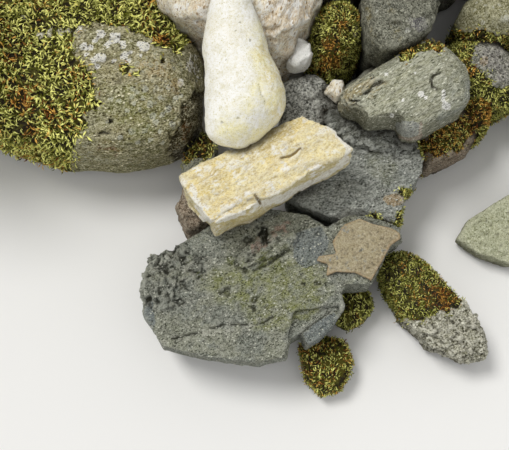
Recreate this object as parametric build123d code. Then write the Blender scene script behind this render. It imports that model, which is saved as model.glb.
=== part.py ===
from build123d import *
import math
import os
import random

# A low, tumbled length of dry stone wall, laid without mortar. Millimetres, with
# +X along the wall, -Y towards its open front and the ground at zero height.

# Sizes of the wall
wall_length = 1140        # end to end along the wall
back_face = 640           # distance of the rear face from the front reference line
skin_depth = 230          # depth of the rear skin's stones
batter = 0.07             # how much each course steps in for its height
footing_height = 176      # rear footing stones
second_course = 124       # height of the second course
third_course = 106        # height of the third course
top_course = 92           # height of the stones left at the very top
hearting_pitch = 112      # spacing of the small stones between the skins
hearting_height = 108     # height of the lower ones
packing_size = 92         # width of the smaller ones packed on top of them
packing_height = 58       # and their height
scar_depth = 13           # how deep a layer has split off a walling stone's face
gap_left = -388           # where the standing front skin ends on the left
gap_right = 346           # and where it starts again on the right
end_front = 92            # front face of the ends of the front skin
end_depth = 228           # depth of the stones there

# Heights of the stones at the foot of the gap
boulder_height = 165      # mossy boulder on the left
pink_height = 200         # pinkish boulder behind the club stone
ledge_height = 98         # grey ledge and the stones level with it
band_height = 12          # rough band that stands on the ledge
long_height = 86          # foliated boulder lying on the ledge
bearer_height = 42        # low stones that carry the dark slab
slab_thickness = 62       # dark slab
crust_thickness = 5       # tan crust on the slab
block_thickness = 78      # yellow block
block_turn = 28.6         # degrees that its long side lies off the wall's line
cobble_height = 150       # mossy round stone
wedge_height = 112        # grey wedge
angular_height = 188      # dark angular stone
corner_height = 150       # pale corner stone
purple_height = 122       # mossy grey stone
cushion_height = 104      # moss cushion stone
shadow_height = 84        # stone in the shade of the block
pointed_height = 70       # pointed mossy stone
lawn_height = 38          # flat stone out in front
chip_height = 36          # small white stone

# Club-shaped stone: distance from its thick end, then its reach to the left and right
club_overlap = 7          # how far its thick end lies over the block's rear edge
club_line = -20           # where its long line lies along the wall
club_flatness = 0.86      # height over width
club_sides = 28           # flats round each section
club_profile = [(0, -2, 6), (2, -15, 12), (5, -24, 15), (10, -32, 24), (19, -36, 35), (32, -37, 49),
                (46, -36, 56), (66, -37, 55), (88, -37, 47), (109, -41, 37), (123, -39, 33),
                (140, -35, 26), (171, -30, 15), (192, -23, 8), (209, -17, 1), (216, -11, -4)]
narrow_rest = 0.89        # share of its length at which it bears on the pinkish boulder

seat = 6                  # how far an upper stone is worn down onto its bearers
joint_bite = 4            # how far neighbours in a course are worn into each other
face_wander = 18          # how far a stone's face may stand back from the skin's line
plumb_spots = [(a, b) for a in (0.2, 0.5, 0.8) for b in (0.3, 0.7)]  # shares of a bed


def prism(outline, bottom, top):
    """A stone's plan carried straight up between two levels."""
    face = make_face(Polyline(*outline, close=True))
    return Pos(0, 0, bottom) * extrude(face, amount=top - bottom, dir=(0, 0, 1))


def hew(stone, point, normal):
    """Splits off whatever lies beyond a plane."""
    return split(stone, bisect_by=Plane(origin=point, z_dir=normal), keep=Keep.BOTTOM)


def largest(stone):
    """The main body that is left after a cut."""
    return stone.solids().sort_by(SortBy.VOLUME)[-1]


def middle(outline):
    """The average of an outline's points."""
    count = len(outline)
    return sum(p[0] for p in outline) / count, sum(p[1] for p in outline) / count


def boulder(outline, foot, height, seed, facets=7, rings=(45,), belly=0.4, fullness=0.6, dip=3):
    """A stone of true outline, knapped to flat facets that follow an egg-like form.

    Each ring is a girdle of facets at one angle up the form, the lowest of them
    below the belly, where the stone draws in towards its bed. With no rings, the
    stone keeps its sharp upper edge, as a slab does.
    """
    rng = random.Random(seed)
    cx, cy = middle(outline)
    stone = prism(outline, foot, foot + height)
    waist = foot + belly * height
    for ring in (-38,) + tuple(rings):
        rise = (1 - belly) * height if ring > 0 else belly * height
        for k in range(facets):
            turn = 2 * math.pi * (k + rng.uniform(-0.3, 0.3)) / facets
            pitch = math.radians(ring + rng.uniform(-7, 7))
            dx, dy = math.cos(turn), math.sin(turn)
            radius = max((x - cx) * dx + (y - cy) * dy for x, y in outline)
            inset = radius * math.cos(pitch) ** fullness
            lift = rise * math.copysign(abs(math.sin(pitch)) ** fullness, pitch)
            across, up = math.cos(pitch) / radius, math.sin(pitch) / rise
            point = (cx + inset * dx, cy + inset * dy, waist + lift)
            stone = hew(stone, point, (across * dx, across * dy, up))
    lean = math.radians(dip)
    way = rng.uniform(0, 2 * math.pi)
    crown = (math.cos(way) * math.sin(lean), math.sin(way) * math.sin(lean), math.cos(lean))
    return largest(hew(stone, (cx, cy, foot + height), crown))


def rough_rectangle(x0, x1, y0, y1, seed, roughness=0.1):
    """Eight points round a walling stone's plan, pushed about as the weather leaves them."""
    rng = random.Random(seed)
    xm, ym = (x0 + x1) / 2, (y0 + y1) / 2
    corner = rng.uniform(0.5, 0.8)
    points = []
    for sx, sy in ((-1, -corner), (-corner, -1), (corner, -1), (1, -corner),
                   (1, corner), (corner, 1), (-corner, 1), (-1, corner)):
        px = xm + sx * (x1 - x0) / 2 - sx * roughness * (x1 - x0) * rng.random() / 2
        py = ym + sy * (y1 - y0) / 2 - sy * roughness * (y1 - y0) * rng.random() / 2
        points.append((px, py))
    return points


def field_plan(x, y, reach_x, reach_y, seed, corners=8):
    """The plan of a gathered field stone: rounded, and nowhere quite the same."""
    rng = random.Random(seed)
    points = []
    for k in range(corners):
        turn = 2 * math.pi * (k + rng.uniform(-0.25, 0.25)) / corners
        share = rng.uniform(0.84, 1.08)
        points.append((x + reach_x * share * math.cos(turn), y + reach_y * share * math.sin(turn)))
    return points


wall = {}
boxes = {}


def touches(a, b):
    """Whether two bounding boxes meet."""
    return (a.min.X < b.max.X and b.min.X < a.max.X and a.min.Y < b.max.Y
            and b.min.Y < a.max.Y and a.min.Z < b.max.Z and b.min.Z < a.max.Z)


def lay(name, *stones):
    """Sets stones among those already laid, trimmed to where they bear on them."""
    laid = []
    for stone in stones:
        box = stone.bounding_box()
        for other, other_box in boxes.items():
            if touches(box, other_box):
                stone = stone - wall[other]
        for neighbour in laid:
            stone = stone - neighbour
        laid.append(largest(stone))
    wall[name] = laid[0] if len(laid) == 1 else Compound(laid)
    boxes[name] = wall[name].bounding_box()


def crown_level(x, y):
    """How high the stones laid so far reach above one spot, found with a plumb rod."""
    rod = Pos(x, y, 0) * Cylinder(1, 4 * back_face)
    crown = 0
    for name, box in boxes.items():
        if box.min.X < x < box.max.X and box.min.Y < y < box.max.Y:
            met = wall[name] & rod
            if met:
                crown = max(crown, met.bounding_box().max.Z)
    return crown


# The photographed foot of the wall, from the ground up
slab_top = bearer_height + slab_thickness
block_top = slab_top + block_thickness

lay("mossy_boulder", boulder(
    [(-398, 160), (-360, 118), (-314, 98), (-239, 78), (-153, 73), (-85, 86), (-64, 117),
     (-60, 156), (-66, 200), (-96, 250), (-150, 290), (-260, 302), (-345, 285), (-392, 230)],
    0, boulder_height, seed=1, facets=9, rings=(24, 46, 68), fullness=0.66, dip=4))

lay("pink_boulder", boulder(
    [(-128, 273), (-112, 249), (-88, 228), (-60, 214), (-6, 212), (12, 192), (28, 182),
     (45, 190), (52, 214), (66, 223), (78, 250), (84, 300), (60, 352), (8, 388), (-62, 392),
     (-114, 362), (-138, 315)],
    0, pink_height, seed=2, facets=7, rings=(30, 58), fullness=0.6))

lay("mossy_round_stone", boulder(
    [(85, 274), (112, 278), (128, 266), (138, 241), (135, 216), (123, 196), (105, 178),
     (92, 169), (72, 191), (65, 211), (62, 241)],
    0, cobble_height, seed=3, facets=8, rings=(24, 46, 68), fullness=0.85))


def grey_ledge():
    """The ledge: a flat stone with a rough band left standing along its rear edge."""
    plate = boulder(
        [(60, 114), (82, 132), (99, 141), (161, 127), (201, 98), (204, 79), (203, 60),
         (196, 43), (180, 30), (179, -4), (140, -9), (108, -4), (54, 16), (38, 24), (34, 84)],
        0, ledge_height, seed=4, facets=6, rings=(), dip=2)
    band = prism(
        [(84, 130), (88, 112), (114, 90), (147, 85), (164, 83), (187, 87), (198, 96), (190, 108),
         (150, 126), (105, 134)],
        ledge_height - seat, ledge_height + band_height)
    return largest(plate + band)


lay("grey_ledge", grey_ledge())

lay("grey_wedge", boulder(
    [(34, 168), (58, 178), (74, 180), (92, 160), (106, 138), (100, 120), (60, 108), (32, 116)],
    0, wedge_height, seed=5, facets=5, rings=(58,), fullness=0.3, dip=6))

lay("boulder_bearer", boulder(
    [(106, 122), (200, 102), (230, 140), (228, 190), (150, 196), (112, 172)],
    0, ledge_height, seed=6, facets=5, rings=(55,), fullness=0.3, dip=1))

lay("brown_moss_stone", boulder(
    [(203, 110), (205, 80), (213, 70), (241, 82), (266, 93), (278, 116), (268, 146), (240, 160),
     (216, 148)],
    0, ledge_height, seed=7, facets=7, rings=(30, 60), fullness=0.7))

lay("moss_cushion_stone", boulder(
    [(253, 155), (264, 165), (281, 165), (293, 150), (295, 130), (286, 110), (268, 101), (254, 116)],
    0, cushion_height, seed=8, facets=7, rings=(30, 60), fullness=0.9))

lay("mossy_grey_stone", boulder(
    [(235, 212), (246, 228), (277, 228), (301, 217), (338, 197), (338, 158), (304, 140),
     (274, 145), (255, 166), (228, 184)],
    0, purple_height, seed=9, facets=7, rings=(28, 56), fullness=0.7))

lay("pale_corner_stone", boulder(
    [(248, 249), (262, 274), (300, 298), (352, 300), (394, 262), (382, 228), (332, 214),
     (288, 210), (260, 218)],
    0, corner_height, seed=10, facets=8, rings=(28, 56), fullness=0.7))

lay("dark_angular_stone", boulder(
    [(129, 227), (136, 195), (150, 184), (173, 184), (188, 191), (205, 207), (216, 236),
     (228, 296), (190, 318), (140, 302), (128, 262)],
    0, angular_height, seed=11, facets=6, rings=(62,), fullness=0.22, dip=4))

lay("pinkish_prop", boulder(
    [(-94, 18), (-84, 40), (-62, 56), (-44, 40), (-40, 4), (-58, -12), (-82, -10)],
    0, slab_top - seat / 2, seed=12, facets=6, rings=(50,), fullness=0.5))

lay("shadow_stone", boulder(
    [(-92, 62), (-66, 52), (-44, 70), (-46, 104), (-66, 118), (-86, 100)],
    0, shadow_height, seed=13, facets=5, rings=(50,), fullness=0.4, dip=6))

lay("slab_bearers",
    boulder([(-120, -126), (-98, -148), (-30, -152), (12, -134), (14, -104), (-40, -78), (-106, -84)],
            0, bearer_height, seed=14, facets=7, rings=(55,), fullness=0.3, dip=1),
    boulder([(2, -48), (40, -58), (84, -40), (88, -6), (46, 12), (6, 0)],
            0, bearer_height, seed=15, facets=6, rings=(55,), fullness=0.3, dip=1))

lay("mossy_bearer_front", boulder(
    [(52, -142), (80, -130), (112, -137), (124, -165), (108, -200), (82, -208), (60, -186)],
    0, bearer_height + seat / 3, seed=16, facets=7, rings=(30, 60), fullness=0.7))

lay("mossy_bearer_side", boulder(
    [(96, -112), (102, -84), (120, -68), (144, -74), (150, -98), (132, -118), (112, -126)],
    0, bearer_height + seat / 3, seed=17, facets=7, rings=(30, 60), fullness=0.7))


def dark_slab():
    """The slab: a plate with a raised rim, a broken ridge and a lower shelf at one corner."""
    outline = [(-134, -86), (-127, -64), (-123, -46), (-96, -36), (-53, -8), (7, 14), (63, 4),
               (86, -10), (111, 4), (138, 3), (172, -12), (176, -28), (160, -35), (150, -59),
               (137, -80), (108, -81), (101, -90), (105, -106), (93, -127), (76, -143),
               (62, -150), (55, -136), (43, -143), (38, -165), (5, -173), (-57, -165),
               (-108, -152), (-129, -117)]
    plate = boulder(outline, bearer_height - 2, slab_thickness + 2, seed=18, facets=9,
                    rings=(), belly=0.6, fullness=0.16, dip=0.5)
    rim = boulder([(-124, -88), (-118, -52), (-96, -42), (-80, -60), (-92, -104), (-114, -112)],
                  slab_top - 12, 19, seed=19, facets=6, rings=(45,), belly=0.2, fullness=0.6)
    ridge = boulder([(-24, -44), (12, -22), (44, -16), (54, -28), (30, -46), (-14, -62)],
                    slab_top - 12, 20, seed=20, facets=6, rings=(45,), belly=0.2, fullness=0.6)
    shelf = prism([(46, -112), (100, -104), (96, -190), (30, -190)], slab_top - 9, slab_top + 9)
    return largest(plate + rim + ridge - shelf)


lay("dark_slab", dark_slab())

lay("tan_crust", prism(
    [(124, -2), (138, -8), (162, -14), (170, -19), (172, -26), (160, -34), (149, -54), (136, -77),
     (118, -67), (95, -66), (84, -71), (86, -57), (73, -53), (76, -47), (96, -45), (92, -30),
     (105, -10)],
    slab_top - seat, slab_top + crust_thickness))

lay("pointed_mossy_stone", boulder(
    [(150, -54), (158, -34), (180, -28), (207, -38), (226, -60), (245, -87), (274, -126),
     (283, -149), (278, -162), (253, -167), (232, -157), (209, -143), (181, -114), (164, -87)],
    0, pointed_height, seed=22, facets=8, rings=(28, 55), fullness=0.6, dip=5))


def yellow_block():
    """The block: a split bed face above, stepped along its length where layers broke off."""
    outline = [(-85, 34), (-62, 47), (-34, 62), (33, 97), (55, 104), (86, 88), (103, 68),
               (112, 62), (100, 54), (66, 37), (25, 11), (-6, -9), (-29, -16), (-45, -25),
               (-60, -9), (-77, 14)]
    block = boulder(outline, slab_top - seat, block_thickness + seat, seed=23, facets=8,
                    rings=(), dip=1)
    cx, cy = middle(outline)
    turn = math.radians(block_turn)
    for offset, depth, fall in ((-46, 9, -0.34), (-30, 4, -0.34), (34, 6, 0.34)):
        point = (cx - offset * math.sin(turn), cy + offset * math.cos(turn), block_top - depth)
        block = hew(block, point, (-fall * math.sin(turn), fall * math.cos(turn), 1))
    return largest(block)


lay("yellow_block", yellow_block())

lay("long_boulder", boulder(
    [(98, 134), (103, 120), (122, 115), (131, 102), (168, 104), (172, 88), (190, 87), (206, 98),
     (247, 123), (250, 139), (248, 165), (234, 184), (209, 203), (178, 189), (139, 164), (108, 143)],
    ledge_height - seat, long_height + seat, seed=24, facets=8, rings=(32, 60), fullness=0.5, dip=4))

lay("small_white_stone", boulder(
    [(39, 183), (44, 205), (53, 212), (64, 210), (70, 193), (61, 180), (48, 176)],
    wedge_height - seat, chip_height, seed=25, facets=5, rings=(48,), fullness=0.5, dip=8))

lay("pinning_chips",
    boulder([(84, 150), (98, 138), (112, 146), (108, 162), (94, 168)],
            wedge_height - 30, 44, seed=26, facets=5, rings=(50,), fullness=0.7, dip=8),
    boulder([(60, 66), (82, 60), (96, 76), (80, 92), (62, 86)],
            ledge_height - seat, 16, seed=27, facets=5, rings=(50,), fullness=0.7))

lay("lawn_stone", boulder(
    [(254, -11), (268, 14), (300, 32), (345, 60), (398, 100), (436, 96), (424, 12), (374, -28),
     (316, -44), (280, -32)],
    0, lawn_height, seed=28, facets=8, rings=(50,), fullness=0.4, dip=2))


def bed_level(x0, x1, y0, y1):
    """Where a stone comes to rest over a patch of wall: on the second highest of six spots."""
    levels = [crown_level(x0 + a * (x1 - x0), y0 + b * (y1 - y0)) for a, b in plumb_spots]
    return sorted(levels)[-2] - seat


def scarred(stone, plan, outward, foot, height, rng):
    """Splits a layer off part of a stone's outer face, along a bed that slants a little."""
    xs, ys = [p[0] for p in plan], [p[1] for p in plan]
    length = max(xs) - min(xs)
    start = min(xs) + rng.uniform(-0.3, 0.4) * length
    end = start + rng.uniform(0.5, 0.9) * length
    face = max(ys) if outward > 0 else min(ys)
    inner, beyond = face - outward * scar_depth, face + outward * scar_depth
    slope = rng.uniform(0.4, 1.2) * scar_depth
    bed = foot + rng.uniform(0.36, 0.64) * height
    above = rng.random() < 0.6
    layer = prism([(start, inner), (end, inner + outward * slope / 2), (end + slope, beyond),
                   (start - slope, beyond)], 0, height if above else -height)
    tilt = Rot(0, rng.choice((-1, 1)) * rng.uniform(4, 14), 0)
    pivot = Pos((start + end) / 2, 0, 0)
    return largest(stone - Pos(0, 0, bed) * pivot * tilt * pivot.inverse() * layer)


def walling(name, x0, x1, y0, y1, height, seed, footing=False, outward=-1):
    """A field stone of the skins, seated on whatever lies under it."""
    rng = random.Random(seed)
    foot = 0 if footing else bed_level(x0, x1, y0, y1)
    step_in = batter * foot
    plan = rough_rectangle(x0, x1, y0 + rng.uniform(0, face_wander),
                           y1 - step_in - rng.uniform(0, face_wander), seed)
    tall = height * rng.uniform(0.9, 1.1)
    stone = boulder(plan, foot, tall, seed, facets=6 + seed % 3, rings=(34, 64),
                    belly=rng.uniform(0.36, 0.54), fullness=rng.uniform(0.3, 0.46), dip=4)
    lay(name, scarred(stone, plan, outward, foot, tall, rng))


# The ends of the front skin, beyond the gap
half = wall_length / 2
walling("left_end_footing", -half, gap_left, end_front, end_front + end_depth, footing_height,
        seed=29, footing=True)
walling("right_end_footing", gap_right, half, end_front - 8, end_front + end_depth - 12,
        footing_height, seed=30, footing=True)


def course(name, joints, height, seed, footing=False):
    """One course of the rear skin: a stone between each pair of joints, from the left."""
    for k in range(len(joints) - 1):
        walling(f"{name}_{k + 1}", joints[k] - joint_bite, joints[k + 1] + joint_bite,
                back_face - skin_depth, back_face, height, seed + k, footing, outward=1)


# The rear skin, broken down course by course towards the right
course("back_footing", (-half, -300, -20, 250, half), footing_height, seed=40, footing=True)

# Hearting between the skins: a row of field stones, and smaller ones packed on top of it
hearting_front = end_front + end_depth - 32
hearting_back = back_face - skin_depth + face_wander + joint_bite
hearting_line = (hearting_front + hearting_back) / 2
hearting_reach = (hearting_back - hearting_front) / 2
pink_span = (-110, 70)
places = [(k - 4) * hearting_pitch for k in range(9)]
places = [x for x in places if not pink_span[0] <= x <= pink_span[1]]
lay("hearting_first", *[
    boulder(field_plan(x, hearting_line, 0.62 * hearting_pitch, 1.08 * hearting_reach, seed=60 + k),
            0, hearting_height + 11 * (k % 3), seed=60 + k, facets=7, rings=(30, 58), fullness=0.5, dip=8)
    for k, x in enumerate(places)])

packing = []
for k, x in enumerate(places):
    px, py = x + 0.3 * hearting_pitch, hearting_line + (0.34 - 0.68 * (k % 2)) * hearting_reach
    reach = packing_size / 2
    foot = bed_level(px - reach, px + reach, py - reach, py + reach)
    packing.append(boulder(field_plan(px, py, reach, 0.9 * reach, seed=80 + k),
                           foot, packing_height + seat, seed=80 + k, facets=6, rings=(30, 60),
                           fullness=0.5, dip=10))
lay("hearting_second", *packing)

course("back_second", (-half + 14, -420, -168, 92, 322), second_course, seed=44)
course("back_third", (-half + 26, -306, -58, 160), third_course, seed=50)
course("back_top", (-half + 44, -372, -176), top_course, seed=54)

# Second and third courses left standing at the ends of the front skin
walling("left_front_second", -half + 16, gap_left + 40, end_front + 16, end_front + end_depth + 8,
        second_course, seed=70)
walling("left_front_third", -half + 34, gap_left + 8, end_front + 34, end_front + end_depth + 20,
        third_course, seed=71)
walling("right_front_second", gap_right + 20, half - 20, end_front + 10, end_front + end_depth - 8,
        second_course - 14, seed=72)


def club_width(distance):
    """Half the club stone's width at a distance from its thick end."""
    distance = min(max(distance, club_profile[0][0]), club_profile[-1][0])
    for (d0, left0, right0), (d1, left1, right1) in zip(club_profile, club_profile[1:]):
        if d0 <= distance <= d1:
            share = (distance - d0) / (d1 - d0)
            return ((right0 - left0) * (1 - share) + (right1 - left1) * share) / 2


def oval(half_width):
    """One section across the club stone, as wide as given and a little less high."""
    turns = [2 * math.pi * k / club_sides for k in range(club_sides)]
    points = [(half_width * math.cos(t), club_flatness * half_width * math.sin(t)) for t in turns]
    return make_face(Polyline(*points, close=True))


def rear_edge(name, x):
    """How far back a stone that is laid reaches, on one line across the wall."""
    return (wall[name] & Pos(x, 0, 0) * Box(2, 4 * back_face, 4 * back_face)).bounding_box().max.Y


def club_stone():
    """The club-shaped stone, lofted through ovals from its thick end to its narrow one.

    Each end comes to rest on the stone under it, so the club leans as they let it.
    """
    club_tip = rear_edge("yellow_block", club_line) - club_overlap
    thick, narrow = club_overlap / 2, narrow_rest * club_profile[-1][0]
    thick_level = (crown_level(club_line, club_tip + thick)
                   + club_flatness * club_width(thick) - seat)
    narrow_level = (crown_level(club_line, club_tip + narrow)
                    + club_flatness * club_width(narrow) - seat)
    ovals = []
    for distance, left, right in club_profile:
        rise = (distance - thick) / (narrow - thick)
        level = thick_level + (narrow_level - thick_level) * rise
        place = Plane(origin=(club_line + (left + right) / 2, club_tip + distance, level),
                      x_dir=(1, 0, 0), z_dir=(0, 1, 0))
        ovals.append(place * oval((right - left) / 2))
    return loft(ovals, ruled=True)


lay("pale_club_stone", club_stone())

# Origin at the middle of the footprint, on the ground
low = [min(getattr(box.min, axis) for box in boxes.values()) for axis in "XYZ"]
high = [max(getattr(box.max, axis) for box in boxes.values()) for axis in "XYZ"]
shift = Pos(-(low[0] + high[0]) / 2, -(low[1] + high[1]) / 2, -low[2])
os.makedirs("parts", exist_ok=True)
for name, stone in wall.items():
    export_step(shift * stone, f"parts/{name}.step")
print(len(wall), "nodes from", low, "to", high)
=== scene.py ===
# %% [markdown]
# # A tumbled length of dry stone wall
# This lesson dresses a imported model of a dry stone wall. The model holds every stone as a plain
# faceted solid. Each of them gets its weathered skin here: a finer mesh, worn edges, splits,
# pits and ridges, a finish of its own, and moss where moss grows.

# %% Load the wall
import math
import bpy
import numpy as np
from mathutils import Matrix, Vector
from mathutils.bvhtree import BVHTree


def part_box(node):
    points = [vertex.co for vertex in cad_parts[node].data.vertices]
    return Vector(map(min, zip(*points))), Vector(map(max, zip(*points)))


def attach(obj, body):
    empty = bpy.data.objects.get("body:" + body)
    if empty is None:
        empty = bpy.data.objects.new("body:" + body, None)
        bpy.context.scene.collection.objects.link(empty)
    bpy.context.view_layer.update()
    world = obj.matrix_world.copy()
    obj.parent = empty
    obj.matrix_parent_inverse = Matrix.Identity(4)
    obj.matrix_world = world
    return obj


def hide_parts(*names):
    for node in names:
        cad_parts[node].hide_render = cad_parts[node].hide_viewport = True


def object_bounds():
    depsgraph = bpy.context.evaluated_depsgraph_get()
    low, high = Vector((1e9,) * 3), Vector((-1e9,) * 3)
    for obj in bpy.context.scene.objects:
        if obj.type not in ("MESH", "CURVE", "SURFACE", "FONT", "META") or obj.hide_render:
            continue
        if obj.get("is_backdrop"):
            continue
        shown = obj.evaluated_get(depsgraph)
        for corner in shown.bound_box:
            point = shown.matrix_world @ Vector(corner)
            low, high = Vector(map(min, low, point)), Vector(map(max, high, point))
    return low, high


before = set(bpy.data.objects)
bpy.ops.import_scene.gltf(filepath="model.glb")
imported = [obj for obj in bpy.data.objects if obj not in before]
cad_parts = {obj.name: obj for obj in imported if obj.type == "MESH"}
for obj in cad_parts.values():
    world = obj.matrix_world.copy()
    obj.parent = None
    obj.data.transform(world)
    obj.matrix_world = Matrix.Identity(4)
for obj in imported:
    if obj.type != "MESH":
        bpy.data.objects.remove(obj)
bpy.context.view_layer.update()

# %% [markdown]
# ## Camera
# The picture was taken from just in front of the wall's foot, looking almost straight down. Its
# middle falls a little behind the dark slab, so that point is found from the slab, and nothing
# slides if the wall gets longer. A long lens from about 1.3 m, 78 degrees above the level ground,
# gives the photograph's flat, almost plan-like view with the near faces just showing.

# %% Camera
PICTURE_WIDTH, PICTURE_HEIGHT = 509, 450
LENS, SENSOR = 75, 36
CAMERA_DISTANCE = 1.30
CAMERA_ELEVATION = math.radians(78)
AIM_LEFT, AIM_BEHIND, AIM_HEIGHT = 0.021, 0.173, 0.06
slab_low, slab_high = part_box("dark_slab")
aim = Vector(((slab_low.x + slab_high.x) / 2 - AIM_LEFT, slab_low.y + AIM_BEHIND, AIM_HEIGHT))
away = Vector((0, -math.cos(CAMERA_ELEVATION), math.sin(CAMERA_ELEVATION)))
camera = bpy.data.objects.new("camera", bpy.data.cameras.new("camera"))
bpy.context.scene.collection.objects.link(camera)
camera.data.lens = LENS
camera.data.sensor_width = SENSOR
camera.location = aim + away * CAMERA_DISTANCE
camera.rotation_euler = (-away).to_track_quat("-Z", "Y").to_euler()
bpy.context.scene.camera = camera
print("camera looks at", [round(v, 3) for v in aim])

# %% [markdown]
# ## Light and floor
# The day was bright but overcast. A pale world lights from everywhere, and one broad, soft lamp
# from the upper left gives the stones their form. Together they light a level surface at about
# one, so that a colour renders as it is written. The floor is plain and pale.

# %% Light and floor
WORLD_STRENGTH, WORLD_TINT = 0.58, (1.0, 0.995, 0.985, 1)
LAMP_STRENGTH, LAMP_TINT, LAMP_ANGLE = 1.68, (1.0, 0.985, 0.955), math.radians(20)
LAMP_WAY = Vector((0.42, -0.34, -1.0))
FLOOR_SIZE, FLOOR_DROP, FLOOR_TINT = 30, 0.0006, (0.86, 0.86, 0.85, 1)
world = bpy.data.worlds.new("overcast")
bpy.context.scene.world = world
world.use_nodes = True
sky = world.node_tree.nodes["Background"]
sky.inputs["Color"].default_value = WORLD_TINT
paths = world.node_tree.nodes.new("ShaderNodeLightPath")
seen = world.node_tree.nodes.new("ShaderNodeMath")
seen.operation = "MAXIMUM"
glow = world.node_tree.nodes.new("ShaderNodeMapRange")
glow.inputs["To Min"].default_value = WORLD_STRENGTH
glow.inputs["To Max"].default_value = 1.0
world.node_tree.links.new(paths.outputs["Is Camera Ray"], seen.inputs[0])
world.node_tree.links.new(paths.outputs["Is Transmission Ray"], seen.inputs[1])
world.node_tree.links.new(seen.outputs[0], glow.inputs["Value"])
world.node_tree.links.new(glow.outputs[0], sky.inputs["Strength"])

lamp = bpy.data.objects.new("lamp", bpy.data.lights.new("lamp", "SUN"))
lamp.data.energy = LAMP_STRENGTH
lamp.data.angle = LAMP_ANGLE
lamp.data.color = LAMP_TINT
lamp.rotation_euler = LAMP_WAY.to_track_quat("-Z", "Y").to_euler()
bpy.context.scene.collection.objects.link(lamp)
bpy.context.scene.view_settings.view_transform = "Standard"

bpy.ops.mesh.primitive_plane_add(size=FLOOR_SIZE, location=(0, 0, -FLOOR_DROP))
floor = bpy.context.object
floor.name = "floor"
floor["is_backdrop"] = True
pale = bpy.data.materials.new("pale floor")
pale.use_nodes = True
pale.node_tree.nodes["Principled BSDF"].inputs["Base Color"].default_value = FLOOR_TINT
pale.node_tree.nodes["Principled BSDF"].inputs["Roughness"].default_value = 0.95
floor.data.materials.append(pale)
print("lights: world", WORLD_STRENGTH, "lamp", LAMP_STRENGTH)

# %% [markdown]
# ## Noise for shaping stone
# Stone is rough at every size at once. These helpers give smooth random values at points in
# space, the same on each run, and add several sizes of them together. Squeezing the points along
# one direction gives the long grain of bedded and foliated rock. Broken rock has flat facets too:
# there each small cell of space gets a plane with a tilt of its own.

# %% Noise helpers
SLOPES = np.array([(1, 1, 0), (-1, 1, 0), (1, -1, 0), (-1, -1, 0), (1, 0, 1), (-1, 0, 1), (1, 0, -1),
                   (-1, 0, -1), (0, 1, 1), (0, -1, 1), (0, 1, -1), (0, -1, -1), (1, 1, 0), (-1, 1, 0),
                   (0, -1, 1), (0, -1, -1)])
CELL_PRIMES, SEED_PRIME, MIX_PRIME = np.array([73856093, 19349663, 83492791]), 668265263, 1274126177
FULL_RANGE = 1.5
OCTAVE_FADE, OCTAVE_STEP, OCTAVE_SHIFT, RIDGE_STEEPNESS = 0.55, 2.03, 17.3, 1.6


def scrambled(cell, seed):
    """A whole number for each cell of space, as good as random."""
    key = cell @ CELL_PRIMES + seed * SEED_PRIME
    return (key ^ (key >> 13)) * MIX_PRIME


def lattice_noise(points, seed):
    """Smooth values from about -1 to 1 that change over one unit of length."""
    cell = np.floor(points).astype(np.int64)
    part = points - cell
    ease = part * part * part * (part * (part * 6 - 15) + 10)
    total = np.zeros(len(points))
    for corner in range(8):
        offset = np.array([corner & 1, corner >> 1 & 1, corner >> 2 & 1])
        slope = SLOPES[(scrambled(cell + offset, seed) >> 11) & 15]
        share = np.prod(np.where(offset, ease, 1 - ease), axis=1)
        total += np.einsum("ij,ij->i", slope, part - offset) * share
    return total * FULL_RANGE


def rough(points, size, seed, octaves=4, ridged=False):
    """Noise of one size and its finer octaves: from about -1 to 1, or 0 to 1 in sharp ridges."""
    total, weight, scale = 0, 0, 1 / size
    for octave in range(octaves):
        value = lattice_noise(points * scale + OCTAVE_SHIFT * octave, seed + octave)
        if ridged:
            value = 1 - np.abs(value) * RIDGE_STEEPNESS
        total = total + value * OCTAVE_FADE ** octave
        weight += OCTAVE_FADE ** octave
        scale *= OCTAVE_STEP
    return total / weight


def facets(points, size, seed):
    """Flat facets, as frost and hammer leave them, each with its own tilt: about -1 to 1."""
    scaled = points / size
    cell = np.floor(scaled).astype(np.int64)
    nearest, value = np.full(len(points), 9.0), np.zeros(len(points))
    for corner in range(27):
        offset = np.array([corner % 3 - 1, corner // 3 % 3 - 1, corner // 9 - 1])
        key = scrambled(cell + offset, seed)
        spot = cell + offset + np.stack([(key >> bit & 255) / 255 for bit in (8, 16, 24)], axis=1)
        from_spot = scaled - spot
        distance = np.einsum("ij,ij->i", from_spot, from_spot)
        tilt = np.stack([(key >> bit & 255) / 127.5 - 1 for bit in (12, 20, 28)], axis=1)
        value = np.where(distance < nearest, np.einsum("ij,ij->i", from_spot, tilt), value)
        nearest = np.minimum(nearest, distance)
    return value


def along_grain(points, direction, stretch):
    """Points squeezed along a direction, so that noise on them is long in that direction."""
    axis = np.array(direction, float)
    axis /= np.linalg.norm(axis)
    return points - np.outer(points @ axis, axis) * (1 - 1 / stretch)


def step(value, low, high):
    """0 below low, 1 above high, with a smooth rise between."""
    share = np.clip((value - low) / (high - low), 0, 1)
    return share * share * (3 - 2 * share)


def terraced(value, height, riser=0.25):
    """A smooth slope broken into treads and risers of one height, as split layers are."""
    level = value / height
    tread = np.floor(level)
    return height * (tread + step(level - tread, 0.5 - riser / 2, 0.5 + riser / 2))


# %% [markdown]
# ## Marking a stone where the picture shows it
# Patches of moss, lichen or stain, cracks and knobs are noted as places in the picture, in pixels
# from its upper left corner, one pixel being about 1.2 mm. A point of a stone's skin is carried
# into the picture once, when its mask is made, and the mask is kept on the mesh. A patch is either
# an outline or a chain of places with a width, and noise makes its edge ragged.

# %% Patch helpers
EYE, AHEAD, RIGHT = np.array(camera.location), np.array(-away), np.array((1.0, 0, 0))
UP = np.cross(RIGHT, AHEAD)


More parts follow.
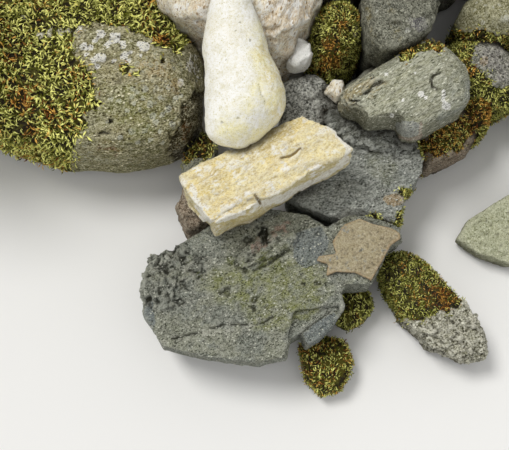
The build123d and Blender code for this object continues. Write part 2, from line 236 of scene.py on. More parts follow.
def in_picture(points):
    """Where points fall in the picture, in pixels."""
    ray = points - EYE
    scale = LENS / SENSOR * PICTURE_WIDTH / (ray @ AHEAD)
    across, up = ray @ RIGHT * scale, ray @ UP * scale
    return np.stack([PICTURE_WIDTH / 2 + across, PICTURE_HEIGHT / 2 - up], axis=1)


def chain_distance(points, chain):
    """How many pixels points lie from a chain of places in the picture."""
    flat = in_picture(points)
    best = np.full(len(flat), 1e9)
    places = [np.array(place, float) for place in chain]
    for start, end in zip(places, places[1:] or places):
        run = end - start
        share = np.clip(((flat - start) @ run) / max(run @ run, 1e-12), 0, 1)
        best = np.minimum(best, np.linalg.norm(flat - start - share[:, None] * run, axis=1))
    return best


def depth_inside(points, outline):
    """How many pixels deep points lie inside an outline, or below 0 outside it."""
    flat = in_picture(points)
    inside = np.zeros(len(flat), bool)
    for (ax, ay), (bx, by) in zip(outline, outline[1:] + outline[:1]):
        spans = (ay > flat[:, 1]) != (by > flat[:, 1])
        slant = (bx - ax) / ((by - ay) or 1e-12)
        inside ^= spans & (flat[:, 0] < ax + slant * (flat[:, 1] - ay))
    edge = chain_distance(points, outline + outline[:1])
    return np.where(inside, edge, -edge)


def patch(points, seed, outline=None, chain=None, width=8.0, ragged=3.0, ragged_size=0.012, soft=1.5):
    """A mask, 1 inside an outline or within a width of a chain, with a ragged edge."""
    depth = depth_inside(points, outline) if outline else width - chain_distance(points, chain)
    return step(depth + ragged * rough(points, ragged_size, seed, 3), -soft, soft)


def blots(points, seed, places, ragged=1.5, ragged_size=0.006, soft=0.7):
    """A mask of small ragged blots: each place is across, down and reach, in pixels."""
    how = dict(ragged=ragged, ragged_size=ragged_size, soft=soft)
    masks = [patch(points, seed, chain=[(across, down)], width=reach, **how)
             for across, down, reach in places]
    return np.max(masks, axis=0)


def patches(points, seed, outlines=(), chains=(), **how):
    """One mask for several outlines or chains that are alike."""
    masks = [patch(points, seed, outline=outline, **how) for outline in outlines]
    masks += [patch(points, seed, chain=chain, **how) for chain in chains]
    return np.max(masks, axis=0)


def groove(points, seed, chain, width, wander=1.0):
    """1 along a crack, falling off over its width in pixels, with a wandering line."""
    shift = wander * rough(points, 0.010, seed, 3)
    return np.exp(-((chain_distance(points, chain) + shift) / width) ** 2)


def sunk(marks, depths):
    """How deep a skin sinks under its marks, each mark with a depth of its own in metres."""
    return sum(depth * marks[label] for label, depth in depths.items())


def darkest(marks, shares):
    """One mask for the dark in several marks, each with a share of its own."""
    return np.max([share * marks[label] for label, share in shares.items()], axis=0)


# %% [markdown]
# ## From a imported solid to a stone's skin
# A copy of the solid is rebuilt by the voxel remesher as small even faces, which round the
# arrises a little and hold fine relief anywhere. The smoothing that follows is the weather: more
# rounds for a field boulder, few for freshly split rock.

# %% Skin helpers
WELD_REACH = 1e-5


def flattened(obj):
    """Bakes an object's modifiers into its mesh and removes them."""
    made = bpy.data.meshes.new_from_object(obj.evaluated_get(bpy.context.evaluated_depsgraph_get()))
    obj.modifiers.clear()
    old = obj.data
    obj.data = made
    bpy.data.meshes.remove(old)
    return obj


def skin_of(name, voxel, wear):
    """A fine, closed mesh over one packed stone, with its edges worn."""
    shell = bpy.data.objects.new(name + "_skin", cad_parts[name].data.copy())
    bpy.context.scene.collection.objects.link(shell)
    shell.data.materials.clear()
    weld = shell.modifiers.new("weld", "WELD")
    weld.merge_threshold = WELD_REACH
    remesh = shell.modifiers.new("remesh", "REMESH")
    remesh.mode = "VOXEL"
    remesh.voxel_size = voxel
    smooth = shell.modifiers.new("wear", "SMOOTH")
    smooth.factor = 0.5
    smooth.iterations = wear
    return flattened(shell)


def thinned(obj, share):
    """Keeps a share of a skin's faces, most of them where it bends."""
    modifier = obj.modifiers.new("thin", "DECIMATE")
    modifier.ratio = share
    return flattened(obj)


def read_rows(source, key, width=3, kind=float):
    """One array row for each item of a mesh collection."""
    values = np.zeros(len(source) * width, kind)
    source.foreach_get(key, values)
    return values.reshape(-1, width)


def read_points(mesh):
    return read_rows(mesh.vertices, "co")


def read_normals(mesh):
    return read_rows(mesh.vertex_normals, "vector")


def write_points(mesh, points):
    mesh.vertices.foreach_set("co", points.astype(np.float32).ravel())
    mesh.update()


def write_mask(mesh, name, values):
    """Keeps a mask on the mesh for the finish to read."""
    layer = mesh.attributes.get(name) or mesh.attributes.new(name, "FLOAT", "POINT")
    layer.data.foreach_set("value", np.clip(values, 0, 1).astype(np.float32))


def triangles_in(obj):
    return sum(len(face.vertices) - 2 for face in obj.data.polygons)


# %% [markdown]
# Two measures of a skin steer its colours. How proud a point stands of its surroundings tells
# arrises from hollows. How close it lies to the next stone tells where damp and painted shade go.

# %% Measures of a skin
def edge_list(mesh):
    return read_rows(mesh.edges, "vertices", 2, np.int64)


def spread(edges, values, rounds):
    """Averages values with their neighbours' over the mesh, several rounds."""
    count = np.bincount(edges.ravel(), minlength=len(values)).astype(float)
    for _ in range(rounds):
        total = np.bincount(edges[:, 0], values[edges[:, 1]], len(values))
        total += np.bincount(edges[:, 1], values[edges[:, 0]], len(values))
        values = 0.5 * values + 0.5 * total / np.maximum(count, 1)
    return values


def proudness(mesh, rounds):
    """How far points stand proud of their surroundings: arrises above 0, hollows below."""
    points, normals, edges = read_points(mesh), read_normals(mesh), edge_list(mesh)
    mean = np.stack([spread(edges, points[:, k], rounds) for k in range(3)], axis=1)
    return np.einsum("ij,ij->i", points - mean, normals)


BOXES = {name: tuple(np.array(corner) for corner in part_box(name)) for name in sorted(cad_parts)}
JOINT_REACH = 0.015
DRY_LAYER = "tan_crust"


def crowding(name, points):
    """How close points lie to another stone: 1 where they touch it, 0 beyond the reach."""
    low, high = points.min(axis=0) - JOINT_REACH, points.max(axis=0) + JOINT_REACH
    verts, faces = [], []
    for other, (other_low, other_high) in BOXES.items():
        near = (other_low < high).all() and (other_high > low).all()
        if near and other not in (name, DRY_LAYER):
            mesh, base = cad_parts[other].data, len(verts)
            verts += [vertex.co.copy() for vertex in mesh.vertices]
            faces += [[base + k for k in face.vertices] for face in mesh.polygons]
    closeness = np.zeros(len(points))
    if faces:
        solid = BVHTree.FromPolygons(verts, faces)
        for k, point in enumerate(points):
            distance = solid.find_nearest(Vector(point), JOINT_REACH)[3]
            if distance is not None:
                closeness[k] = 1 - distance / JOINT_REACH
    return closeness


# %% [markdown]
# ## Relief
# One function carves any stone from a short list of its traits: how lumpy it is, how deep its
# layers are broken and which way they run, how flat its facets, how sharp its ridges, how many
# pits. Stones that the picture shows well have a function of their own on top of it. At the end
# every stone gets the masks that its finish reads: worn arrises, hollows for dirt and painted
# shade, flanks for painted shade, damp with painted shade near the ground and in the joints, and
# moss. Under moss the rock lies a little deeper, so that the tips of the moss reach its true outline.

# %% Carve a stone
def carve(points, seed, lump=0.0, lump_size=0.06, grain=None, stretch=4, layers=0.0, layer_size=0.02,
          layer_step=0.002, chips=0.0, chip_size=0.03, ridges=0.0, ridge_size=0.02, pits=0.0,
          pit_size=0.006, fine=0.0, fine_size=0.004):
    """How far a skin's points move along their normals for the traits given, in metres."""
    grained = points if grain is None else along_grain(points, grain, stretch)
    move = np.zeros(len(points))
    if lump:
        move += lump * rough(points, lump_size, seed, 3)
    if layers:
        move += terraced(layers * rough(grained, layer_size, seed + 10, 4), layer_step)
    if chips:
        bent = grained + 0.12 * chip_size * rough(points, chip_size * 0.4, seed + 15, 2)[:, None]
        move += chips * facets(bent, chip_size, seed + 16)
    if ridges:
        move += ridges * (rough(grained, ridge_size, seed + 20, 4, ridged=True) - 0.6)
    if pits:
        move -= pits * step(rough(points, pit_size, seed + 30, 2), 0.15, 0.5)
    if fine:
        move += fine * rough(grained, fine_size, seed + 40, 3)
    return move


MOSS_DEPTH, MOSS_DEPTH_MEAN, MOSS_DEPTH_SWING, CUSHION_SIZE = 0.0040, 0.85, 0.55, 0.016
MOSS_MUTES = 0.6
CLUMP_SIZE, CLUMP_SPAN = 0.009, (-0.45, 0.15)
FRINGE_ROUNDS, FRINGE_SHARE, FRINGE_END = 10, 0.4, 0.04
MOSS_CLEARANCE = (0.003, 0.010)
# Where damp and painted shade go near the ground and in the joints, and painted shade on flanks.
NEAR_GROUND_SPAN, NEAR_GROUND_SWING, NEAR_GROUND_DAMP_AND_SHADE = (0.004, 0.034), 0.008, 0.85
LEVEL_SPAN, FLANK_SHADE_SPAN, JOINT_SPAN = (0.35, 0.8), (0.05, 0.75), (0.2, 0.95)
USUAL_BROWN, BROWN_SWING = 0.35, 0.15
WEAR_ROUNDS, WORN_SPAN, HOLLOW_SPAN = 5, np.array((0.5, 2.4)), np.array((0.4, 2.2))
BROWN_MOSS = {
    "mossy_boulder": (0.24, [(22, 102, 11), (50, 114, 8), (8, 58, 6), (28, 132, 6), (160, 40, 8)]),
    "mossy_round_stone": (0.22, [(330, 44, 9), (330, 62, 11), (322, 72, 7), (345, 26, 5)]),
    "pointed_mossy_stone": (0.18, [(436, 296, 13), (448, 304, 8), (402, 270, 6)]),
    "moss_cushion_stone": (0.15, [(479, 112, 15)]),
    "brown_moss_stone": (0.65, []),
    "mossy_grey_stone": (0.15, [(470, 72, 6), (454, 62, 5)]),
    "pale_corner_stone": (0.3, []),
    "grey_ledge": (0.1, [(378, 193, 6)]),
    "long_boulder": (0.5, []),
    "mossy_bearer_front": (0.4, []),
    "mossy_bearer_side": (0.15, []),
}


def bed_moss(name, mesh, move, moss, seed):
    """Moves the skin, lets the rock lie deeper under moss, and marks where moss shoots grow."""
    points, normals = read_points(mesh), read_normals(mesh)
    cushions = MOSS_DEPTH * (MOSS_DEPTH_MEAN - MOSS_DEPTH_SWING * rough(points, CUSHION_SIZE, seed + 70, 3))
    moved = points + normals * (move * (1 - MOSS_MUTES * moss) - moss * cushions)[:, None]
    moved[:, 2] = np.maximum(moved[:, 2], 0.0)
    write_points(mesh, moved)
    clumps = moss * step(rough(points, CLUMP_SIZE, seed + 71, 2), *CLUMP_SPAN)
    fringe = spread(edge_list(mesh), moss, FRINGE_ROUNDS)
    fringe = FRINGE_SHARE * fringe * (1 - moss) * (fringe > FRINGE_END)
    write_mask(mesh, "moss", moss)
    write_mask(mesh, "shoots", step(moved[:, 2], *MOSS_CLEARANCE) * np.maximum(clumps, fringe))
    base, places = BROWN_MOSS.get(name, (USUAL_BROWN, []))
    brown = base + BROWN_SWING * rough(points, 0.03, seed + 73, 3)
    if places:
        brown = np.maximum(brown, blots(points, seed + 74, places, ragged=5, ragged_size=0.015, soft=4))
    write_mask(mesh, "brown", brown)


def weather(name, mesh, seed):
    """Marks worn arrises, hollows for dirt and painted shade, flanks for painted shade,
    and damp with painted shade near the ground and in the joints.
    """
    proud = proudness(mesh, WEAR_ROUNDS)
    size = np.std(proud) + 1e-9
    points, normals = read_points(mesh), read_normals(mesh)
    # Darker on steep faces near the ground: damp and painted shade.
    near_ground = 1 - step(points[:, 2] + NEAR_GROUND_SWING * rough(points, 0.03, seed + 72, 3), *NEAR_GROUND_SPAN)
    near_ground *= 1 - step(normals[:, 2], *LEVEL_SPAN)
    write_mask(mesh, "worn", step(proud, *WORN_SPAN * size))
    write_mask(mesh, "hollow", step(-proud, *HOLLOW_SPAN * size))
    # Steep flanks are marked for painted shade.
    write_mask(mesh, "flank_shade", 1 - step(normals[:, 2], *FLANK_SHADE_SPAN))
    # Where stones meet: damp and painted shade.
    joints = step(crowding(name, points), *JOINT_SPAN)
    write_mask(mesh, "damp_and_shade", np.maximum(NEAR_GROUND_DAMP_AND_SHADE * near_ground, joints))
    mesh.shade_smooth()


# %% [markdown]
# ## Building finishes from nodes
# Every finish is a small node tree. These helpers keep the wiring short, and the colours are
# written as they look on screen, then turned to the linear values that Blender works in.

# %% Node helpers
def tone(red, green, blue):
    """A colour as seen on screen, 0 to 255, in linear light."""
    seen_values = [part / 255 for part in (red, green, blue)]
    linear = [part / 12.92 if part <= 0.04045 else ((part + 0.055) / 1.055) ** 2.4 for part in seen_values]
    return linear + [1.0]


def node(tree, kind, links=None, **settings):
    """Adds a node, sets its properties and inputs, and links others' outputs into it."""
    made = tree.nodes.new(kind)
    for key, value in settings.items():
        if hasattr(made, key):
            setattr(made, key, value)
        else:
            made.inputs[key.replace("_", " ")].default_value = value
    for socket, source in (links or {}).items():
        tree.links.new(source, made.inputs[socket])
    return made


def maths(tree, operation, *terms):
    """A Math node over outputs and plain numbers."""
    made = tree.nodes.new("ShaderNodeMath")
    made.operation = operation
    for k, term in enumerate(terms):
        if isinstance(term, (int, float)):
            made.inputs[k].default_value = term
        else:
            tree.links.new(term, made.inputs[k])
    return made.outputs[0]


def ramp(tree, source, low, high):
    """Stretches low..high of a value to 0..1 with soft ends."""
    made = node(tree, "ShaderNodeMapRange", {"Value": source})
    made.interpolation_type = "SMOOTHSTEP"
    made.inputs["From Min"].default_value = low
    made.inputs["From Max"].default_value = high
    return made.outputs[0]


def blend(tree, factor, first, second, strength=1.0):
    """Mixes two colours by a mask times a strength."""
    if strength != 1.0:
        factor = maths(tree, "MULTIPLY", factor, strength)
    made = tree.nodes.new("ShaderNodeMix")
    made.data_type = "RGBA"
    tree.links.new(factor, made.inputs["Factor"])
    for socket, value in (("A", first), ("B", second)):
        target = [slot for slot in made.inputs if slot.name == socket and slot.type == "RGBA"][0]
        if isinstance(value, (list, tuple)):
            target.default_value = value
        else:
            tree.links.new(value, target)
    return [slot for slot in made.outputs if slot.type == "RGBA"][0]


def mask(tree, name):
    """Reads a mask that was painted on the mesh."""
    return node(tree, "ShaderNodeAttribute", attribute_name=name).outputs["Fac"]


def new_group(name, inputs, outputs):
    """An empty shader group with a Place input, float inputs and float outputs."""
    group = bpy.data.node_groups.new(name, "ShaderNodeTree")
    group.interface.new_socket("Place", in_out="INPUT", socket_type="NodeSocketVector")
    for label, value in inputs.items():
        socket = group.interface.new_socket(label, in_out="INPUT", socket_type="NodeSocketFloat")
        socket.default_value = value
    for label in outputs:
        group.interface.new_socket(label, in_out="OUTPUT", socket_type="NodeSocketFloat")
    return group, group.nodes.new("NodeGroupInput").outputs, group.nodes.new("NodeGroupOutput").inputs


def use_group(tree, group, place, **values):
    """Places a group in a material with its own values."""
    made = tree.nodes.new("ShaderNodeGroup")
    made.node_tree = group
    tree.links.new(place, made.inputs["Place"])
    for key, value in values.items():
        made.inputs[key].default_value = value
    return made.outputs


# %% [markdown]
# ## Shared effects
# Three effects come back on most stones, so each is a group built once. The mottle is a cloudy
# patchiness with crisp islands. The speckle is the mineral grain, dark and light, at two sizes,
# with a few crisp white and black grains. The lichen is a scatter of small round crusts with pale
# rims that sit in drifts, as they do on field stone.

# %% Mottle, speckle and lichen groups
mottle, given, result = new_group("mottle", {"Size": 30.0}, ["Patch", "Cloud", "Flake", "Lines"])
cloud = node(mottle, "ShaderNodeTexNoise", {"Vector": given["Place"], "Scale": given["Size"]},
             Detail=7.0, Roughness=0.66, Distortion=0.3)
for label, low, high in (("Patch", 0.48, 0.54), ("Cloud", 0.30, 0.70), ("Flake", 0.55, 0.58)):
    mottle.links.new(ramp(mottle, cloud.outputs["Fac"], low, high), result[label])
off_line = maths(mottle, "ABSOLUTE", maths(mottle, "SUBTRACT", cloud.outputs["Fac"], 0.47))
mottle.links.new(ramp(mottle, off_line, 0.016, 0.004), result["Lines"])

speckle, given, result = new_group("speckle", {"Size": 400.0},
                                   ["Dark", "Light", "Height", "White", "Black"])
fine_grain = node(speckle, "ShaderNodeTexNoise", {"Vector": given["Place"], "Scale": given["Size"]},
                  Detail=3.0, Roughness=0.7)
coarse_grain = node(speckle, "ShaderNodeTexNoise",
                    {"Vector": given["Place"], "Scale": maths(speckle, "MULTIPLY", given["Size"], 0.45)},
                    Detail=3.0, Roughness=0.7)
both = maths(speckle, "ADD", maths(speckle, "MULTIPLY", fine_grain.outputs["Fac"], 0.65),
             maths(speckle, "MULTIPLY", coarse_grain.outputs["Fac"], 0.35))
speckle.links.new(ramp(speckle, both, 0.474, 0.432), result["Dark"])
speckle.links.new(ramp(speckle, both, 0.525, 0.565), result["Light"])
speckle.links.new(both, result["Height"])
grains = node(speckle, "ShaderNodeTexVoronoi",
              {"Vector": given["Place"], "Scale": maths(speckle, "MULTIPLY", given["Size"], 0.62)})
drawn = node(speckle, "ShaderNodeSeparateColor", {"Color": grains.outputs["Color"]}).outputs[0]
close = ramp(speckle, grains.outputs["Distance"], 0.50, 0.36)
for label, choice, bound in (("White", "GREATER_THAN", 0.92), ("Black", "LESS_THAN", 0.10)):
    chosen = maths(speckle, choice, drawn, bound)
    speckle.links.new(maths(speckle, "MULTIPLY", close, chosen), result[label])

lichen, given, result = new_group("lichen", {"Size": 110.0, "Drift": 16.0, "Amount": 0.2},
                                  ["Spots", "Rims"])
bent = node(lichen, "ShaderNodeTexNoise", {"Vector": given["Place"]}, Scale=260.0, Detail=2.0)
shift = node(lichen, "ShaderNodeVectorMath", {0: bent.outputs["Color"]}, operation="SCALE", Scale=0.005)
moved = node(lichen, "ShaderNodeVectorMath", {0: given["Place"], 1: shift.outputs[0]}, operation="ADD")
cells = node(lichen, "ShaderNodeTexVoronoi", {"Vector": moved.outputs[0], "Scale": given["Size"]})
drift = node(lichen, "ShaderNodeTexNoise", {"Vector": given["Place"], "Scale": given["Drift"]}, Detail=3.0)
pick = node(lichen, "ShaderNodeSeparateColor", {"Color": cells.outputs["Color"]}).outputs[0]
reach = maths(lichen, "MULTIPLY_ADD", drift.outputs["Fac"], 2.6, -1.3)
reach = maths(lichen, "ADD", reach, given["Amount"])
reach = maths(lichen, "SUBTRACT", reach, maths(lichen, "MULTIPLY", pick, 0.4))
inside = maths(lichen, "SUBTRACT", maths(lichen, "MINIMUM", reach, 0.42), cells.outputs["Distance"])
lichen.links.new(ramp(lichen, inside, -0.02, 0.04), result["Spots"])
rims = maths(lichen, "MULTIPLY", ramp(lichen, inside, -0.02, 0.03), ramp(lichen, inside, 0.16, 0.08))
lichen.links.new(rims, result["Rims"])
print("shared effects:", [group.name for group in bpy.data.node_groups])

# %% [markdown]
# ## One recipe for rock
# The recipe lays colours over each other in the order that they came about: the rock's own tones
# in patches, painted shade on the steep flanks, stains that were painted on the mesh and break up
# as real ones do, some of them painted shade in cracks, holes and recesses, its mineral speckle,
# pale arrises, dirt and painted shade in the hollows, lichen, damp and painted shade where stones
# meet or touch the ground, and the dark ground of the moss.

# %% Rock recipe
MOSS_GROUND, MOSS_GROUND_PATCH, MOSS_COVER = (30, 22, 5), (76, 72, 16), 0.96
# Damp and painted shade where stones touch each other or the ground.
DAMP_AND_SHADE = (34, 27, 12)
SMALL_PATCHES, SMALL_DARK, SMALL_LIGHT = 4.2, 0.28, 0.34
GRAIN_DEPTH, DIMPLE_DEPTH = 0.0030, 0.0024
FAINT_CRUST = 0.4
ROCK_ROUGHNESS, ROCK_SHINE = 0.9, 0.25


def crisp(tree, value, grain):
    """Sharpens a painted mask's edge and makes it follow the grain, finer than the mesh can."""
    jitter = maths(tree, "MULTIPLY_ADD", grain, 1.8, -0.9)
    return ramp(tree, maths(tree, "ADD", value, jitter), 0.38, 0.62)


def rock_finish(name, body, islands, dark, light, stains=None, patch_size=26.0, speckle_size=560.0,
                speckle_dark=0.85, speckle_light=0.75, white_grains=0.85, black_grains=0.85,
                lines=0.45, line_size=110.0, lichen_tone=(216, 216, 202), lichen_amount=0.0,
                lichen_size=120.0, lichen_strength=0.55, arris=None, arris_strength=0.4,
                dirt_and_shade=(46, 42, 28), dirt_and_shade_strength=0.6, damp_and_shade_strength=0.85, flank_shade=None,
                flank_shade_strength=0.5, flakes=None, flake_size=70.0, flake_strength=0.9, bump=0.8,
                grain=None):
    """A rock material. Colours are 0 to 255. Stains: mask name to colour, strength, pattern, size."""
    material = bpy.data.materials.new(name)
    material.use_nodes = True
    tree = material.node_tree
    shader = tree.nodes["Principled BSDF"]
    place = node(tree, "ShaderNodeTexCoord").outputs["Object"]
    grained = place
    if grain is not None:
        angle, stretch = grain
        turned = node(tree, "ShaderNodeMapping", {"Vector": place})
        turned.inputs["Rotation"].default_value = (0, 0, -math.radians(angle))
        squeezed = node(tree, "ShaderNodeMapping", {"Vector": turned.outputs[0]})
        squeezed.inputs["Scale"].default_value = (1 / stretch, 1, 1)
        grained = squeezed.outputs[0]
    clouds = use_group(tree, mottle, grained, Size=patch_size)
    small = use_group(tree, mottle, grained, Size=patch_size * SMALL_PATCHES)
    flecks = use_group(tree, speckle, grained, Size=speckle_size)
    colour = blend(tree, clouds["Patch"], tone(*body), tone(*islands))
    colour = blend(tree, small["Patch"], colour, tone(*dark), SMALL_DARK)
    colour = blend(tree, small["Cloud"], colour, tone(*light), SMALL_LIGHT)
    if lines:
        cracks = use_group(tree, mottle, grained, Size=line_size)
        colour = blend(tree, cracks["Lines"], colour, tone(*dark), lines)
    if flakes:
        white = use_group(tree, mottle, grained, Size=flake_size)
        colour = blend(tree, white["Flake"], colour, tone(*flakes), flake_strength)
    # Steep flanks get a darker colour: painted shade.
    if flank_shade:
        colour = blend(tree, mask(tree, "flank_shade"), colour, tone(*flank_shade), flank_shade_strength)
    for label, (stain, strength, pattern, size) in (stains or {}).items():
        amount = mask(tree, label)
        if pattern:
            within = use_group(tree, mottle, grained, Size=size)[pattern]
            amount = maths(tree, "MULTIPLY", amount, within)
        else:
            amount = crisp(tree, amount, flecks["Height"])
        colour = blend(tree, amount, colour, tone(*stain), strength)
    # Speckle, pale worn arrises, dirt and painted shade in the hollows, and crisp grains.
    for amount, shade, strength in (
            (flecks["Dark"], dark, speckle_dark), (flecks["Light"], light, speckle_light),
            (mask(tree, "worn"), arris or light, arris_strength),
            (mask(tree, "hollow"), dirt_and_shade, dirt_and_shade_strength),
            (flecks["White"], light, white_grains), (flecks["Black"], dark, black_grains)):
        colour = blend(tree, amount, colour, tone(*shade), strength)
    if lichen_amount:
        spots = use_group(tree, lichen, place, Size=lichen_size, Amount=lichen_amount)
        colour = blend(tree, spots["Spots"], colour, tone(*lichen_tone), FAINT_CRUST * lichen_strength)
        colour = blend(tree, spots["Rims"], colour, tone(*lichen_tone), lichen_strength)
    # Damp and painted shade where stones touch each other or the ground.
    colour = blend(tree, mask(tree, "damp_and_shade"), colour, tone(*DAMP_AND_SHADE), damp_and_shade_strength)
    ground = blend(tree, small["Patch"], tone(*MOSS_GROUND), tone(*MOSS_GROUND_PATCH))
    colour = blend(tree, crisp(tree, mask(tree, "moss"), flecks["Height"]), colour, ground, MOSS_COVER)
    tree.links.new(colour, shader.inputs["Base Color"])
    shader.inputs["Roughness"].default_value = ROCK_ROUGHNESS
    shader.inputs["Specular IOR Level"].default_value = ROCK_SHINE
    normal = None
    for height, depth in ((flecks["Height"], GRAIN_DEPTH), (small["Cloud"], DIMPLE_DEPTH)):
        links = {"Height": height} if normal is None else {"Height": height, "Normal": normal}
        relief = node(tree, "ShaderNodeBump", links)
        relief.inputs["Strength"].default_value = bump
        relief.inputs["Distance"].default_value = depth
        normal = relief.outputs[0]
    tree.links.new(normal, shader.inputs["Normal"])
    return material


# %% [markdown]
# ## The finishes
# Each kind of stone has one entry: its tones, its stains, and where it differs from the usual
# rock. Colours were judged against the photograph.

